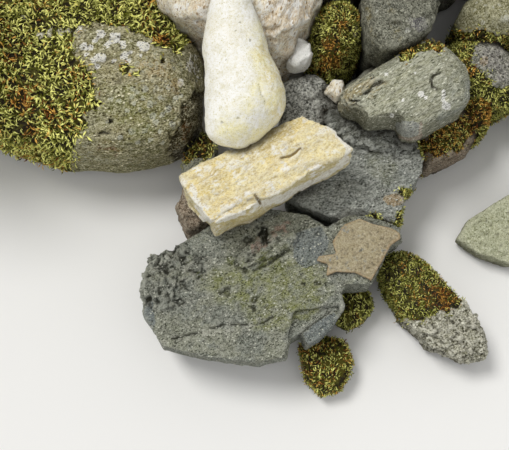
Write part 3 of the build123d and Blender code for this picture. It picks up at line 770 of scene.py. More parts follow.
# %% Finishes of the photographed stones
BEDDING_ANGLE = 28
FOLIATION_ANGLE = 34
FINISHES = {
    "cream": rock_finish(
        "cream stone", (254, 254, 250), (253, 251, 242), (206, 198, 150), (254, 254, 252),
        {"yellow": ((248, 240, 184), 0.9, "Cloud", 60), "ochre": ((232, 216, 148), 0.7, "Patch", 110),
         "streak": ((253, 252, 247), 0.9, None, 0), "fleck": ((140, 136, 104), 0.7, None, 0)},
        patch_size=14.0, speckle_size=760.0, speckle_dark=0.4, speckle_light=0.6, white_grains=0.5,
        black_grains=0.5, lines=0.22, line_size=90.0, arris_strength=0.1, dirt_and_shade=(200, 190, 130),
        dirt_and_shade_strength=0.3, damp_and_shade_strength=0.4, bump=0.25),
    "yellow": rock_finish(
        "yellow block stone", (252, 238, 182), (248, 228, 158), (176, 146, 78), (255, 253, 238),
        {"bleach": ((255, 254, 248), 0.95, "Patch", 150), "rim": ((255, 254, 246), 0.85, None, 0),
         # Crack: dirt and painted shade in cracks and along the bed; shade: painted shadow of the club
         # stone.
         "crack": ((74, 58, 30), 0.9, None, 0), "shade": ((176, 158, 100), 0.8, "Cloud", 60)},
        patch_size=24.0, speckle_size=760.0, speckle_dark=0.4, speckle_light=0.45, white_grains=0.5,
        black_grains=0.3, lines=0.3, grain=(BEDDING_ANGLE, 1.6), arris=(255, 252, 240),
        arris_strength=0.55, dirt_and_shade=(160, 134, 72), dirt_and_shade_strength=0.5, flank_shade=(196, 182, 122),
        flank_shade_strength=0.7, flakes=(254, 252, 240), flake_size=56.0, flake_strength=0.75,
        damp_and_shade_strength=0.7, bump=0.6),
    "slab": rock_finish(
        "dark slab stone", (150, 153, 134), (134, 139, 129), (46, 48, 34), (222, 223, 208),
        {"olive": ((142, 147, 68), 0.8, "Cloud", 120), "pink": ((172, 144, 128), 0.85, "Patch", 150),
         "blue": ((124, 133, 136), 0.75, None, 0), "pale": ((196, 196, 182), 0.75, "Patch", 200),
         # Black: painted shade in holes, hollows and crevices, dirt and painted shade in cracks.
         "black_shade": ((22, 22, 14), 0.85, None, 0), "green": ((96, 104, 36), 0.85, "Patch", 160)},
        speckle_size=860.0, speckle_dark=0.75, speckle_light=0.35, white_grains=0.9, black_grains=0.9,
        lines=0.8, line_size=70.0, grain=(24, 1.4), dirt_and_shade=(34, 34, 22), dirt_and_shade_strength=0.75,
        flank_shade=(116, 121, 116), flank_shade_strength=0.4, damp_and_shade_strength=0.3, arris=(190, 191, 178),
        arris_strength=0.45),
    "crust": rock_finish(
        "tan crust", (168, 157, 126), (158, 146, 116), (112, 100, 74), (206, 196, 172),
        {"blue": ((138, 146, 148), 0.8, "Flake", 130)},
        patch_size=40.0, speckle_dark=0.5, speckle_light=0.4, white_grains=0.5, black_grains=0.4,
        arris=(186, 150, 108), arris_strength=0.3, flank_shade=(170, 130, 90), damp_and_shade_strength=0.0, lines=0.2,
        bump=0.4),
    "ledge": rock_finish(
        "ledge stone", (158, 162, 153), (144, 149, 142), (56, 58, 50), (222, 224, 216),
        {"tan": ((172, 150, 114), 0.9, None, 0), "band": ((112, 114, 102), 0.7, "Patch", 70),
         "green": ((120, 122, 74), 0.6, "Cloud", 60)},
        speckle_size=800.0, speckle_dark=0.7, speckle_light=0.5, dirt_and_shade=(40, 38, 28), lines=0.6,
        grain=(20, 1.8), damp_and_shade_strength=0.6),
    "wedge": rock_finish(
        "wedge stone", (158, 159, 151), (144, 146, 138), (46, 46, 40), (224, 224, 216),
        speckle_size=430.0, lines=0.5, white_grains=0.6),
    "foliated": rock_finish(
        "foliated stone", (172, 172, 144), (152, 154, 130), (78, 80, 58), (238, 238, 220),
        {"purple": ((166, 169, 165), 0.9, None, 0), "white": ((255, 254, 249), 1.0, None, 0),
         "ochre": ((170, 150, 96), 0.8, "Patch", 110), "bright": ((206, 206, 182), 0.7, "Cloud", 60),
         # Crack: painted shade in the arc round the nodule and in the splits.
         "blue": ((150, 156, 152), 0.8, "Cloud", 70), "crack": ((50, 46, 34), 0.9, None, 0),
         "pinkish": ((176, 156, 142), 0.8, None, 0)},
        grain=(FOLIATION_ANGLE, 3.0), patch_size=34.0, speckle_size=860.0, speckle_dark=0.6,
        speckle_light=0.5, white_grains=0.9, lines=0.6, line_size=130.0, dirt_and_shade_strength=0.5, bump=0.7,
        flank_shade=(112, 112, 94), flank_shade_strength=0.7),
    "olive": rock_finish(
        "olive boulder stone", (158, 150, 102), (138, 136, 88), (58, 51, 18), (238, 233, 202),
        {"crust": ((250, 249, 243), 0.95, None, 0), "dots": ((212, 214, 200), 0.85, None, 0),
         # Shaded recess: painted shade with dark brown moss.
         "shaded_recess": ((52, 40, 14), 0.85, None, 0), "rust": ((120, 76, 24), 0.8, "Patch", 120),
         "algae": ((120, 126, 52), 0.75, "Cloud", 50), "tan": ((190, 168, 122), 0.8, "Patch", 80),
         # Hole: painted shade in the hole and under a small arc of ledge.
         "hole": ((10, 8, 4), 0.98, None, 0)},
        lichen_amount=0.18, lichen_size=140.0, lichen_tone=(200, 200, 180), speckle_size=640.0,
        speckle_dark=0.8, speckle_light=0.6, white_grains=1.0, lines=0.6, grain=(12, 1.5),
        flank_shade=(104, 102, 52), bump=0.7, arris_strength=0.25),
    "pinkish": rock_finish(
        "pinkish boulder stone", (255, 244, 214), (244, 226, 194), (156, 128, 88), (255, 255, 250),
        {"crust": ((252, 251, 246), 0.95, "Patch", 90)},
        lichen_amount=0.1, lichen_size=70.0, lichen_tone=(250, 249, 242), speckle_dark=0.5,
        speckle_light=0.65, bump=0.6, dirt_and_shade=(150, 124, 86), dirt_and_shade_strength=0.4, grain=(72, 2.2),
        flakes=(254, 253, 248), flake_size=60.0, flake_strength=0.7, damp_and_shade_strength=0.35),
    "white": rock_finish(
        "white chip stone", (252, 252, 248), (246, 246, 241), (196, 196, 190), (254, 254, 252),
        speckle_dark=0.3, speckle_light=0.3, dirt_and_shade_strength=0.1, damp_and_shade_strength=0.15, bump=0.3),
    "dark": rock_finish(
        "dark stone", (122, 123, 109), (110, 111, 100), (60, 60, 46), (190, 190, 172),
        {"purple": ((112, 110, 116), 0.85, None, 0), "ochre": ((146, 134, 84), 0.7, "Patch", 90),
         "crust": ((214, 216, 206), 0.9, None, 0)},
        lichen_amount=0.08, speckle_size=640.0),
    "purple": rock_finish(
        "purple grey stone", (156, 153, 150), (128, 130, 118), (62, 60, 44), (232, 229, 216),
        {"tan": ((196, 178, 154), 0.9, None, 0)},
        lichen_amount=0.16, patch_size=60.0),
    "corner": rock_finish(
        "pale corner stone", (156, 152, 112), (144, 140, 98), (82, 80, 36), (216, 213, 184),
        {"crust": ((222, 224, 212), 0.85, "Patch", 90)},
        lichen_amount=0.12, speckle_size=640.0, flank_shade=(104, 102, 58), bump=0.7),
    "speckled": rock_finish(
        "speckled grey stone", (188, 185, 162), (166, 164, 138), (60, 58, 34), (250, 248, 232),
        speckle_size=420.0, white_grains=0.8, lichen_amount=0.06, bump=0.9),
    "lawn": rock_finish(
        "pale greenish stone", (196, 197, 164), (184, 186, 152), (126, 130, 96), (228, 230, 204),
        lichen_amount=0.06, speckle_size=640.0, speckle_dark=0.7, speckle_light=0.6, bump=0.7,
        flank_shade=(140, 142, 110)),
    "rubble": rock_finish(
        "reddish rubble stone", (150, 132, 112), (134, 116, 96), (70, 56, 38), (206, 194, 174)),
    "under_moss": rock_finish(
        "stone under moss", (128, 120, 88), (112, 106, 74), (54, 42, 18), (168, 164, 122),
        bump=0.6),
}

# %% Finishes of the walling
WALLING_TONES = {
    "grey_walling": ((150, 148, 134), (134, 133, 120), (74, 72, 60), (204, 201, 184)),
    "olive_walling": ((144, 141, 110), (154, 150, 124), (74, 71, 44), (204, 200, 172)),
    "buff_walling": ((182, 170, 140), (164, 154, 126), (102, 92, 66), (226, 219, 196)),
    "cool_walling": ((146, 145, 134), (130, 130, 120), (68, 67, 56), (204, 202, 188)),
}
for name, tones in WALLING_TONES.items():
    FINISHES[name] = rock_finish(name, *tones, patch_size=18.0, lichen_amount=0.14, lichen_size=60.0,
                                 lichen_strength=0.6, flank_shade=tones[0], flank_shade_strength=0.15,
                                 arris_strength=0.35, dirt_and_shade_strength=0.65)
print("finishes:", len(FINISHES))

# %% [markdown]
# ## The stones that the picture shows well
# Each of these adds what only it has: the slab its knobbly rim and ridge, cracks and worn plate,
# the block its broken beds, the long boulder its nodule. All places are pixels in the picture.

# %% Dark slab
SLAB_RIM = [(152, 296), (154, 276), (162, 262), (178, 258), (196, 261)]
SLAB_RIM_INNER = [(168, 300), (172, 284), (182, 270)]
SLAB_KNOBS = [(190, 277, 8), (223, 266, 6), (203, 262, 4), (226, 252, 4), (300, 283, 4), (314, 279, 4),
              (330, 279, 5), (252, 302, 3)]
SLAB_RIDGE = [(244, 262), (262, 252), (282, 244), (300, 236), (318, 236)]
SLAB_RIDGE_FOOT = [(254, 270), (268, 265), (278, 258), (290, 250)]
SLAB_HOLLOWS = [(180, 286, 6), (199, 273, 5), (225, 292, 5), (251, 258, 5), (247, 240, 4), (254, 298, 3),
                (255, 308, 3), (305, 284, 3), (318, 282, 3), (180, 302, 4)]
SLAB_CRACK = [(173, 339), (186, 335), (208, 330), (225, 324), (244, 325), (263, 323), (272, 317)]
SLAB_LOWER_CRACK = [(299, 336), (306, 329), (316, 322), (330, 312)]
SLAB_OLIVE = [(236, 268), (268, 258), (300, 252), (322, 262), (330, 290), (318, 318), (292, 332),
              (262, 330), (248, 312), (226, 300), (206, 286), (216, 272)]
SLAB_GREEN = [(262, 262, 6), (199, 276, 4), (216, 277, 5), (189, 258, 4), (232, 262, 5), (278, 268, 8)]
SLAB_PINK = [[(276, 232), (288, 227)], [(254, 246), (265, 242)]]
SLAB_HOLE = [(263, 228), (265, 240)]
SLAB_BLUE = [[(292, 258), (296, 232), (322, 226), (330, 240), (320, 262), (306, 268)],
             [(303, 334), (316, 323), (334, 312), (340, 322), (322, 342), (308, 346)],
             [(142, 322), (146, 302), (154, 300), (155, 322), (150, 334)]]
SLAB_PALE = [[(148, 326), (154, 338), (166, 346)], [(176, 338), (206, 332), (238, 328), (262, 320)],
             [(154, 268), (170, 258), (190, 262)], [(184, 268), (196, 278)]]
SLAB_CARVING = dict(lump=0.0022, lump_size=0.06, grain=(0.92, 0.42, 0), stretch=2.6, layers=0.0022,
                    layer_size=0.034, layer_step=0.0010, ridges=0.0008, ridge_size=0.012,
                    pits=0.0005, pit_size=0.005, fine=0.0006, fine_size=0.0032)
SLAB_DEPTHS = {"hollows": 0.0034, "crack": 0.0030, "lower": 0.0020, "foot": 0.0030, "hole": 0.0060}
# How much painted shade, near black, the slab's holes, hollows, cracks, ridge foot and crevices get.
SLAB_BLACK_SHADE = {"hole": 0.8, "crack": 0.6, "lower": 0.5, "foot": 0.5, "hollows": 0.35, "crevices": 0.65}
RUGGED_SWING, RUGGED_SINK, RUGGED_FACETS, KNOB_RISE = 0.0074, 0.0042, 0.0050, 0.00042


def slab_relief(points, seed):
    rim = patch(points, seed, chain=SLAB_RIM, width=13, ragged=4, soft=4)
    inner = patch(points, seed + 5, chain=SLAB_RIM_INNER, width=7, ragged=4, soft=3)
    ridge = patch(points, seed + 1, chain=SLAB_RIDGE, width=11, ragged=5, soft=4)
    rugged = np.max([rim, inner, 0.5 * ridge], axis=0)
    knobbly = rough(points, 0.019, seed + 50, 4, ridged=True)
    parted = step(rough(points, 0.016, seed + 14, 2), -0.45, 0.05)
    marks = {
        "hollows": blots(points, seed + 6, SLAB_HOLLOWS, ragged=6, ragged_size=0.008),
        "crack": parted * groove(points, seed + 7, SLAB_CRACK, 1.5),
        "lower": groove(points, seed + 8, SLAB_LOWER_CRACK, 1.3, 0.5),
        "foot": groove(points, seed + 9, SLAB_RIDGE_FOOT, 1.8),
        "hole": patch(points, seed + 2, chain=SLAB_HOLE, width=4, ragged=4, ragged_size=0.006, soft=2),
        # The rim's crevices get painted shade only; they are not sunk.
        "crevices": rugged * step(0.44 - knobbly, 0.0, 0.20)}
    blue = patches(points, seed + 10, outlines=SLAB_BLUE, ragged=2, soft=1.5)
    move = carve(points, seed, **SLAB_CARVING) - sunk(marks, SLAB_DEPTHS)
    move += rugged * (RUGGED_SWING * knobbly - RUGGED_SINK)
    move += rugged * RUGGED_FACETS * facets(points, 0.012, seed + 53)
    for across, down, reach in SLAB_KNOBS:
        move += KNOB_RISE * reach * np.exp(-(chain_distance(points, [(across, down)]) / reach) ** 4)
    return move * (1 - 0.35 * blue), {
        "olive": patch(points, seed + 3, outline=SLAB_OLIVE, ragged=16, ragged_size=0.03, soft=9),
        "pink": sum(patch(points, seed + 4, chain=chain, width=6, ragged=3, soft=1.5)
                    for chain in SLAB_PINK),
        "blue": blue,
        "green": blots(points, seed + 11, SLAB_GREEN, ragged=4),
        "pale": patches(points, seed + 12, chains=SLAB_PALE, width=3.5, ragged=3, soft=1.5),
        "black_shade": darkest(marks, SLAB_BLACK_SHADE)}


# %% Yellow block
BLOCK_CRACKS = [[(281, 157), (290, 155), (295, 152), (300, 148)], [(255, 195), (260, 201), (262, 206)]]
BLOCK_BED = [(206, 221), (214, 217), (228, 210), (240, 203), (254, 198), (262, 206)]
BLOCK_STEPS = [([(208, 222), (230, 210), (248, 200), (260, 200)], 0.0030),
               ([(197, 201), (228, 188), (254, 182), (290, 172), (316, 160)], 0.0012),
               ([(262, 158), (300, 143), (330, 134)], 0.0012)]
BLOCK_BLEACH = [(282, 148, 6), (276, 150, 5), (248, 155, 5), (256, 152, 3), (232, 171, 4), (215, 178, 5),
                (284, 167, 6), (317, 169, 6), (311, 173, 4), (240, 201, 5), (232, 204, 4), (198, 171, 5),
                (211, 217, 5), (275, 186, 4), (267, 181, 3), (305, 118, 3), (204, 209, 4), (247, 196, 4),
                (218, 231, 4), (262, 160, 3), (290, 128, 3)]
BLOCK_RIMS = [[(330, 127), (340, 136), (347, 150), (346, 158), (338, 166)],
              [(218, 222), (232, 217), (246, 211), (260, 205)],
              [(262, 206), (286, 196), (312, 182), (334, 170)], [(192, 186), (198, 206), (208, 222)]]
BLOCK_SHADE = [(262, 146), (278, 136), (292, 124), (300, 116)]
BLOCK_CARVING = dict(lump=0.0030, lump_size=0.035, grain=(0.877, 0.480, 0.0), stretch=2.6, layers=0.0022,
                     layer_size=0.022, layer_step=0.0010, chips=0.0018, chip_size=0.020,
                     ridges=0.0007, ridge_size=0.009, pits=0.0005, pit_size=0.005, fine=0.0006,
                     fine_size=0.0035)
BLOCK_DEPTHS = {"cracks": 0.0030, "bed": 0.0016}
# How much painted shade the cracks and the bed's lower edge get.
BLOCK_CRACK_SHADE = {"cracks": 1.0, "bed": 0.35}
BLOCK_STEP_REACH, BLOCK_STEP_WANDER = 14, 3


def block_relief(points, seed):
    move = carve(points, seed, **BLOCK_CARVING)
    across, down = in_picture(points).T
    wander = BLOCK_STEP_WANDER * rough(points, 0.02, seed + 50, 3)
    for chain, drop in BLOCK_STEPS:
        line = np.interp(across, *zip(*chain))
        near = np.exp(-(chain_distance(points, chain) / BLOCK_STEP_REACH) ** 2)
        move -= drop * step(down - line + wander, -1, 1) * near
    cracks = [groove(points, seed + 51, chain, 1.4, 0.5) for chain in BLOCK_CRACKS]
    marks = {"cracks": np.max(cracks, axis=0), "bed": groove(points, seed + 52, BLOCK_BED, 1.5)}
    return move - sunk(marks, BLOCK_DEPTHS), {
        "bleach": blots(points, seed + 54, BLOCK_BLEACH, ragged=4, ragged_size=0.009),
        "rim": patches(points, seed + 53, chains=BLOCK_RIMS, width=3, ragged=3, soft=1.2),
        "crack": darkest(marks, BLOCK_CRACK_SHADE),
        "shade": patch(points, seed + 55, chain=BLOCK_SHADE, width=6, ragged=3, soft=3)}


# %% Club stone, tan crust and ledge
CLUB_YELLOW = [(262, 20), (275, 50), (292, 95), (290, 125), (268, 150), (236, 160), (206, 152), (208, 138),
               (217, 124), (232, 108), (242, 100), (246, 86), (254, 77), (248, 61), (246, 46), (252, 30)]
CLUB_OCHRE = [(262, 50), (272, 72), (281, 92), (278, 112)]
CLUB_CRACK = [(259, 84), (261, 94), (265, 100), (266, 105)]
CLUB_STREAK = [(255, 117), (258, 127)]
CLUB_FLECKS = [(238, 118, 1.6), (236, 31, 1.4), (240, 22, 1.2), (226, 60, 1.2), (250, 40, 1.4),
               (222, 122, 1.4)]
CLUB_CARVING = dict(lump=0.0026, lump_size=0.055, ridges=0.0006, ridge_size=0.02, pits=0.0006,
                    pit_size=0.005, fine=0.00025, fine_size=0.004)
CLUB_CRACK_DEPTH = 0.0012


def club_relief(points, seed):
    crack = groove(points, seed + 50, CLUB_CRACK, 1.0, 0.5)
    return carve(points, seed, **CLUB_CARVING) - CLUB_CRACK_DEPTH * crack, {
        "yellow": patch(points, seed + 1, outline=CLUB_YELLOW, ragged=10, ragged_size=0.025, soft=8),
        "ochre": patch(points, seed + 2, chain=CLUB_OCHRE, width=9, ragged=7, soft=5),
        "streak": patch(points, seed + 3, chain=CLUB_STREAK, width=2.5, ragged=1.5, soft=1),
        "fleck": np.maximum(blots(points, seed + 4, CLUB_FLECKS, ragged=0.8), 0.7 * crack)}


CRUST_CARVING = dict(lump=0.0007, lump_size=0.03, pits=0.0007, pit_size=0.006, fine=0.0003)


def crust_relief(points, seed):
    return carve(points, seed, **CRUST_CARVING), {"blue": step(rough(points, 0.02, seed + 1, 3), -0.1, 0.3)}


LEDGE_BAND = [(322, 122), (340, 132), (358, 137), (379, 140), (400, 143), (414, 140)]
LEDGE_TAN = [(384, 195), (394, 194), (402, 193), (405, 198), (403, 205), (394, 206), (388, 204), (383, 200)]
LEDGE_MOSS = [[(404, 190), (412, 196), (409, 206)], [(403, 214), (399, 224), (396, 228)],
              [(372, 218), (386, 225)], [(421, 140), (424, 152)]]
LEDGE_GREEN = [(370, 150), (392, 156), (400, 176), (384, 186), (368, 170)]
LEDGE_CARVING = dict(lump=0.0030, lump_size=0.05, grain=(0.9, -0.3, 0), stretch=2.0, layers=0.0030,
                     layer_size=0.030, layer_step=0.0014, ridges=0.0012, ridge_size=0.014,
                     pits=0.0008, fine=0.0007)
BAND_SWING, BAND_SINK, BAND_FACETS = 0.0044, 0.0020, 0.0034


def ledge_relief(points, seed):
    band = patch(points, seed, chain=LEDGE_BAND, width=15, ragged=5, soft=4)
    tan = patch(points, seed + 1, outline=LEDGE_TAN, ragged=1, soft=0.8)
    move = carve(points, seed, **LEDGE_CARVING)
    move += band * (BAND_SWING * rough(points, 0.012, seed + 50, 3, ridged=True) - BAND_SINK)
    move += band * BAND_FACETS * facets(points, 0.013, seed + 51)
    return move * (1 - 0.6 * tan), {
        "tan": tan, "band": band,
        "moss": patches(points, seed + 2, chains=LEDGE_MOSS, width=4.5, ragged=3, soft=1),
        "green": patch(points, seed + 3, outline=LEDGE_GREEN, ragged=6, soft=5)}


# %% Long boulder
LONG_GRAIN = (0.83, 0.56, 0.0)
LONG_PURPLE = [(396, 122), (412, 121), (421, 126), (417, 136), (404, 138), (396, 132)]
LONG_PINK = [(421, 124), (420, 138), (408, 141), (398, 137)]
LONG_WHITE = [(444, 92, 2.2), (444, 96, 2.4), (443, 100, 2.2), (446, 106, 4.0), (421, 94, 3.2),
              (426, 97, 2.0), (386, 74, 2.0), (415, 73, 1.8), (392, 116, 2.0), (403, 100, 1.6)]
LONG_NODULE = (442, 81)
LONG_ARC = [(440, 73), (434, 75), (431, 80), (433, 86), (437, 89)]
LONG_OCHRE = [(343, 103), (352, 96), (364, 89), (374, 84)]
LONG_BRIGHT = [(356, 104), (366, 98), (380, 101), (384, 108), (370, 113), (358, 112)]
LONG_BLUE = [(452, 66), (470, 80), (470, 106), (440, 124), (436, 112), (450, 100), (450, 84)]
LONG_MOSS = [(404, 56), (418, 47), (434, 42), (440, 46)]
LONG_CARVING = dict(lump=0.0028, lump_size=0.05, grain=LONG_GRAIN, stretch=4.5, layers=0.0012,
                    layer_size=0.010, layer_step=0.0007, ridges=0.0008, ridge_size=0.008,
                    pits=0.0005, fine=0.0005, fine_size=0.0035)
NODULE_RISE, NODULE_REACH = 0.0030, 7
LONG_DEPTHS = {"arc": 0.0034, "splits": 0.0045}
# How much painted shade the arc round the nodule and the splits get.
LONG_CRACK_SHADE = {"arc": 1.0, "splits": 0.8}


def long_relief(points, seed):
    broken = patch(points, seed + 2, chain=LONG_OCHRE, width=9, ragged=5, soft=3)
    split = step(rough(along_grain(points, LONG_GRAIN, 5), 0.006, seed + 50, 2), 0.0, 0.3)
    marks = {"arc": groove(points, seed + 4, LONG_ARC, 1.5, 0.4), "splits": broken * split}
    purple = patch(points, seed + 1, outline=LONG_PURPLE, ragged=2, soft=1.2)
    move = carve(points, seed, **LONG_CARVING) - sunk(marks, LONG_DEPTHS)
    move += NODULE_RISE * np.exp(-(chain_distance(points, [LONG_NODULE]) / NODULE_REACH) ** 4)
    return move * (1 - 0.5 * purple), {
        "purple": purple, "ochre": broken,
        "white": blots(points, seed + 3, LONG_WHITE, ragged=0.8),
        "pinkish": patch(points, seed + 5, chain=LONG_PINK, width=1.8, ragged=1.2, soft=0.8),
        "bright": patch(points, seed + 6, outline=LONG_BRIGHT, ragged=6, soft=5),
        "blue": patch(points, seed + 7, outline=LONG_BLUE, ragged=4, soft=4),
        "moss": patch(points, seed + 8, chain=LONG_MOSS, width=5, ragged=3, soft=1),
        "crack": darkest(marks, LONG_CRACK_SHADE)}


# %% Mossy boulder and pinkish boulder
BOULDER_MOSS = [(-120, -110), (197, -110), (200, 20), (186, 46), (170, 51), (158, 44), (147, 34),
                (130, 27), (114, 24), (96, 23), (80, 26), (73, 34), (70, 49), (76, 60), (84, 66),
                (90, 74), (94, 84), (97, 94), (98, 103), (92, 110), (86, 118), (84, 128), (78, 138),
                (72, 150), (66, 210), (-146, 210)]
BOULDER_BARE = [(40, 35, 4), (50, 33, 4), (60, 31, 4), (68, 30, 3), (24, 16, 2)]
BOULDER_CRUST = [(115, 38, 5.8), (123, 44, 3.8), (145, 47, 4.8), (139, 44, 3.3), (101, 57, 4.8),
                 (84, 47, 3.8), (90, 48, 3.3), (94, 60, 3.3), (101, 34, 4.8), (124, 55, 3.8),
                 (79, 28, 3.8), (129, 61, 2.8), (108, 44, 2.8), (86, 54, 2.8), (98, 66, 2.3),
                 (113, 60, 2.3), (131, 52, 2.3), (140, 56, 2.0), (95, 40, 2.8), (152, 41, 2.3),
                 (180, 83, 3.4), (107, 122, 2.0), (135, 31, 2.3)]
BOULDER_GRAINS = [(192, 58, 5), (190, 66, 6), (195, 70, 4), (197, 79, 2), (186, 75, 3)]
BOULDER_DOTS = [(145, 90, 3.26), (133, 89, 2.9), (132, 97, 2.9), (142, 99, 2.54), (137, 93, 2.45),
                (150, 104, 3.44), (168, 109, 3.8), (160, 98, 2.54), (134, 104, 2.9), (153, 116, 3.44),
                (162, 115, 3.08), (156, 122, 3.08), (132, 131, 3.44), (145, 131, 2.9), (120, 137, 2.72),
                (160, 132, 2.45), (119, 101, 2.54), (172, 124, 3.26), (176, 98, 2.9), (127, 111, 2.45),
                (140, 110, 2.45), (149, 126, 2.36), (181, 96, 2.54), (168, 88, 2.45), (111, 99, 2.36),
                (150, 140, 2.54), (163, 144, 2.54), (138, 142, 2.36)]
# The shaded recess: sunk, and painted with shade and dark brown moss.
BOULDER_RECESS = [(200, 106), (196, 122), (190, 138), (184, 152)]
BOULDER_RUST = [(188, 128, 6), (190, 140, 6), (184, 150, 5), (174, 112, 4), (184, 108, 3), (104, 146, 6),
                (112, 149, 5), (118, 153, 4)]
BOULDER_HOLE = [(110, 121.5)]
BOULDER_ARC = [(99, 134), (104, 132.5), (109, 134)]
BOULDER_SPOTS = [(124.5, 68.5, 5.5), (137, 73.5, 2.2), (163, 60, 2)]
BOULDER_TAN = [(146, 66), (160, 74), (172, 86)]
BOULDER_ALGAE = [(104, 100), (132, 88), (160, 96), (166, 120), (150, 142), (116, 140), (104, 122)]
BOULDER_CARVING = dict(lump=0.0045, lump_size=0.09, grain=(0.8, 0.5, 0), stretch=3, layers=0.0016,
                       layer_size=0.03, layer_step=0.0012, ridges=0.0009, ridge_size=0.03,
                       pits=0.0007, pit_size=0.008, fine=0.0005)
BOULDER_DEPTHS = {"hole": 0.0060, "arc": 0.0040, "shaded_recess": 0.0050}
# How much painted shade the hole and the arc under a small ledge get.
BOULDER_HOLE_SHADE = {"hole": 1.0, "arc": 0.7}
BOULDER_HOLE_REACH = 2.9


def boulder_relief(points, seed):
    marks = {"hole": np.exp(-(chain_distance(points, BOULDER_HOLE) / BOULDER_HOLE_REACH) ** 6),
             "arc": groove(points, seed + 9, BOULDER_ARC, 1.6, 0.4),
             "shaded_recess": patch(points, seed + 4, chain=BOULDER_RECESS, width=15, ragged=8, soft=5)}
    bare = blots(points, seed + 11, BOULDER_BARE, ragged=3)
    moss = patch(points, seed + 1, outline=BOULDER_MOSS, ragged=8, ragged_size=0.014, soft=2.5)
    crust = blots(points, seed + 3, BOULDER_CRUST, ragged=2.2, ragged_size=0.007)
    grainy = blots(points, seed + 5, BOULDER_GRAINS, ragged=3)
    grainy *= step(rough(points, 0.003, seed + 12, 1), -0.1, 0.1)
    return carve(points, seed, **BOULDER_CARVING) - sunk(marks, BOULDER_DEPTHS), {
        "moss": np.maximum(moss * (1 - bare), blots(points, seed + 2, BOULDER_SPOTS, ragged=1.5)),
        "crust": np.max([crust, grainy, 0.5 * bare], axis=0),
        "hole": darkest(marks, BOULDER_HOLE_SHADE),
        "shaded_recess": marks["shaded_recess"],
        "dots": blots(points, seed + 6, BOULDER_DOTS, ragged=0.8),
        "rust": blots(points, seed + 7, BOULDER_RUST, ragged=3),
        "algae": patch(points, seed + 8, outline=BOULDER_ALGAE, ragged=9, ragged_size=0.02, soft=8),
        "tan": patch(points, seed + 13, chain=BOULDER_TAN, width=9, ragged=8, soft=4)}


PINK_LICHEN = [(196, 26, 7), (158, 19, 5), (168, 10, 4), (262, 14, 5), (270, 28, 5), (282, 24, 4),
               (276, 46, 3), (290, 14, 4), (262, 40, 3), (180, 8, 4), (300, 6, 4)]
PINK_CARVING = dict(lump=0.0045, lump_size=0.06, grain=(0.35, 0.94, 0), stretch=2.4, layers=0.0030,
                    layer_size=0.026, layer_step=0.0018, chips=0.0040, chip_size=0.034,
                    ridges=0.0020, ridge_size=0.012, pits=0.0010, fine=0.0009)


def pink_relief(points, seed):
    lichens = blots(points, seed + 1, PINK_LICHEN, ragged=4, ragged_size=0.010)
    return carve(points, seed, **PINK_CARVING), {"crust": lichens}


# %% Pointed, dark, corner and purple grey stones
POINTED_MOSS = [(340, 225), (446, 225), (462, 298), (457, 306), (449, 311), (438, 311), (430, 318),
                (423, 323), (412, 320), (400, 319), (380, 324), (340, 300)]
POINTED_HOLES = [(438, 319, 1.8), (439, 330, 2), (454, 342, 1.8), (447, 326, 1.2)]
POINTED_CRACK = [(443, 352), (452, 347), (465, 342)]
POINTED_CARVING = dict(lump=0.0030, lump_size=0.035, layers=0.0030, layer_size=0.024,
                       layer_step=0.0018, chips=0.0040, chip_size=0.020, ridges=0.0018,
                       ridge_size=0.012, pits=0.0014, pit_size=0.007, fine=0.0009)
POINTED_DEPTHS = {"holes": 0.0030, "crack": 0.0024}


def pointed_relief(points, seed):
    marks = {"holes": blots(points, seed + 2, POINTED_HOLES, ragged=1),
             "crack": groove(points, seed + 3, POINTED_CRACK, 1.5)}
    moss = patch(points, seed + 1, outline=POINTED_MOSS, ragged=6, soft=2)
    return carve(points, seed, **POINTED_CARVING) - sunk(marks, POINTED_DEPTHS), {"moss": moss}


DARK_PURPLE = [(408, 19), (424, 17), (428, 26), (418, 32), (409, 28)]
DARK_OCHRE = [[(394, 26), (398, 38)], [(368, 8), (370, 24), (374, 42)], [(384, 6), (392, 12)]]
DARK_CRUST = [(408, 30, 2.4), (377, 11, 1.6)]
DARK_CARVING = dict(lump=0.002, layers=0.0022, layer_size=0.04, chips=0.004, chip_size=0.040,
                    ridges=0.0006, pits=0.0005, fine=0.0006)


def dark_relief(points, seed):
    return carve(points, seed, **DARK_CARVING), {
        "purple": patch(points, seed + 1, outline=DARK_PURPLE, ragged=4, soft=3),
        "ochre": patches(points, seed + 2, chains=DARK_OCHRE, width=3, ragged=3, soft=2),
        "crust": blots(points, seed + 3, DARK_CRUST, ragged=1)}


CORNER_CRUST = [(484, -20), (540, -20), (540, 22), (500, 20)]
CORNER_FOOT = [(455, 40), (480, 38), (509, 44)]
CORNER_CARVING = dict(lump=0.003, ridges=0.0008, pits=0.0007, fine=0.0006)


def corner_relief(points, seed):
    return carve(points, seed, **CORNER_CARVING), {
        "crust": patch(points, seed + 1, outline=CORNER_CRUST, ragged=8, soft=4),
        "moss": patch(points, seed + 2, chain=CORNER_FOOT, width=7, ragged=4, soft=1.5)}


GREY_BARE = [(474, 44), (484, 38), (500, 38), (515, 46), (515, 84), (498, 90), (486, 80), (478, 66),
             (472, 56)]
GREY_TAN = [(484, 61, 4.5)]
PURPLE_CARVING = dict(lump=0.003, chips=0.003, ridges=0.0015, pits=0.001, fine=0.0007)


def purple_relief(points, seed):
    bare = patch(points, seed + 1, outline=GREY_BARE, ragged=7, ragged_size=0.014, soft=2)
    return carve(points, seed, **PURPLE_CARVING), {
        "moss": 1 - bare, "tan": blots(points, seed + 2, GREY_TAN, ragged=2)}


# %% [markdown]
# ## The stones' traits
# Each stone is one row: its finish, how fine its skin is, how worn it is, how it is carved, and
# how much moss covers it. The photographed stones get a skin of 1.4 to 4 mm, the ones behind and
# under them a coarser one. Moss that no outline was drawn for gathers on the upper side, by a noise.

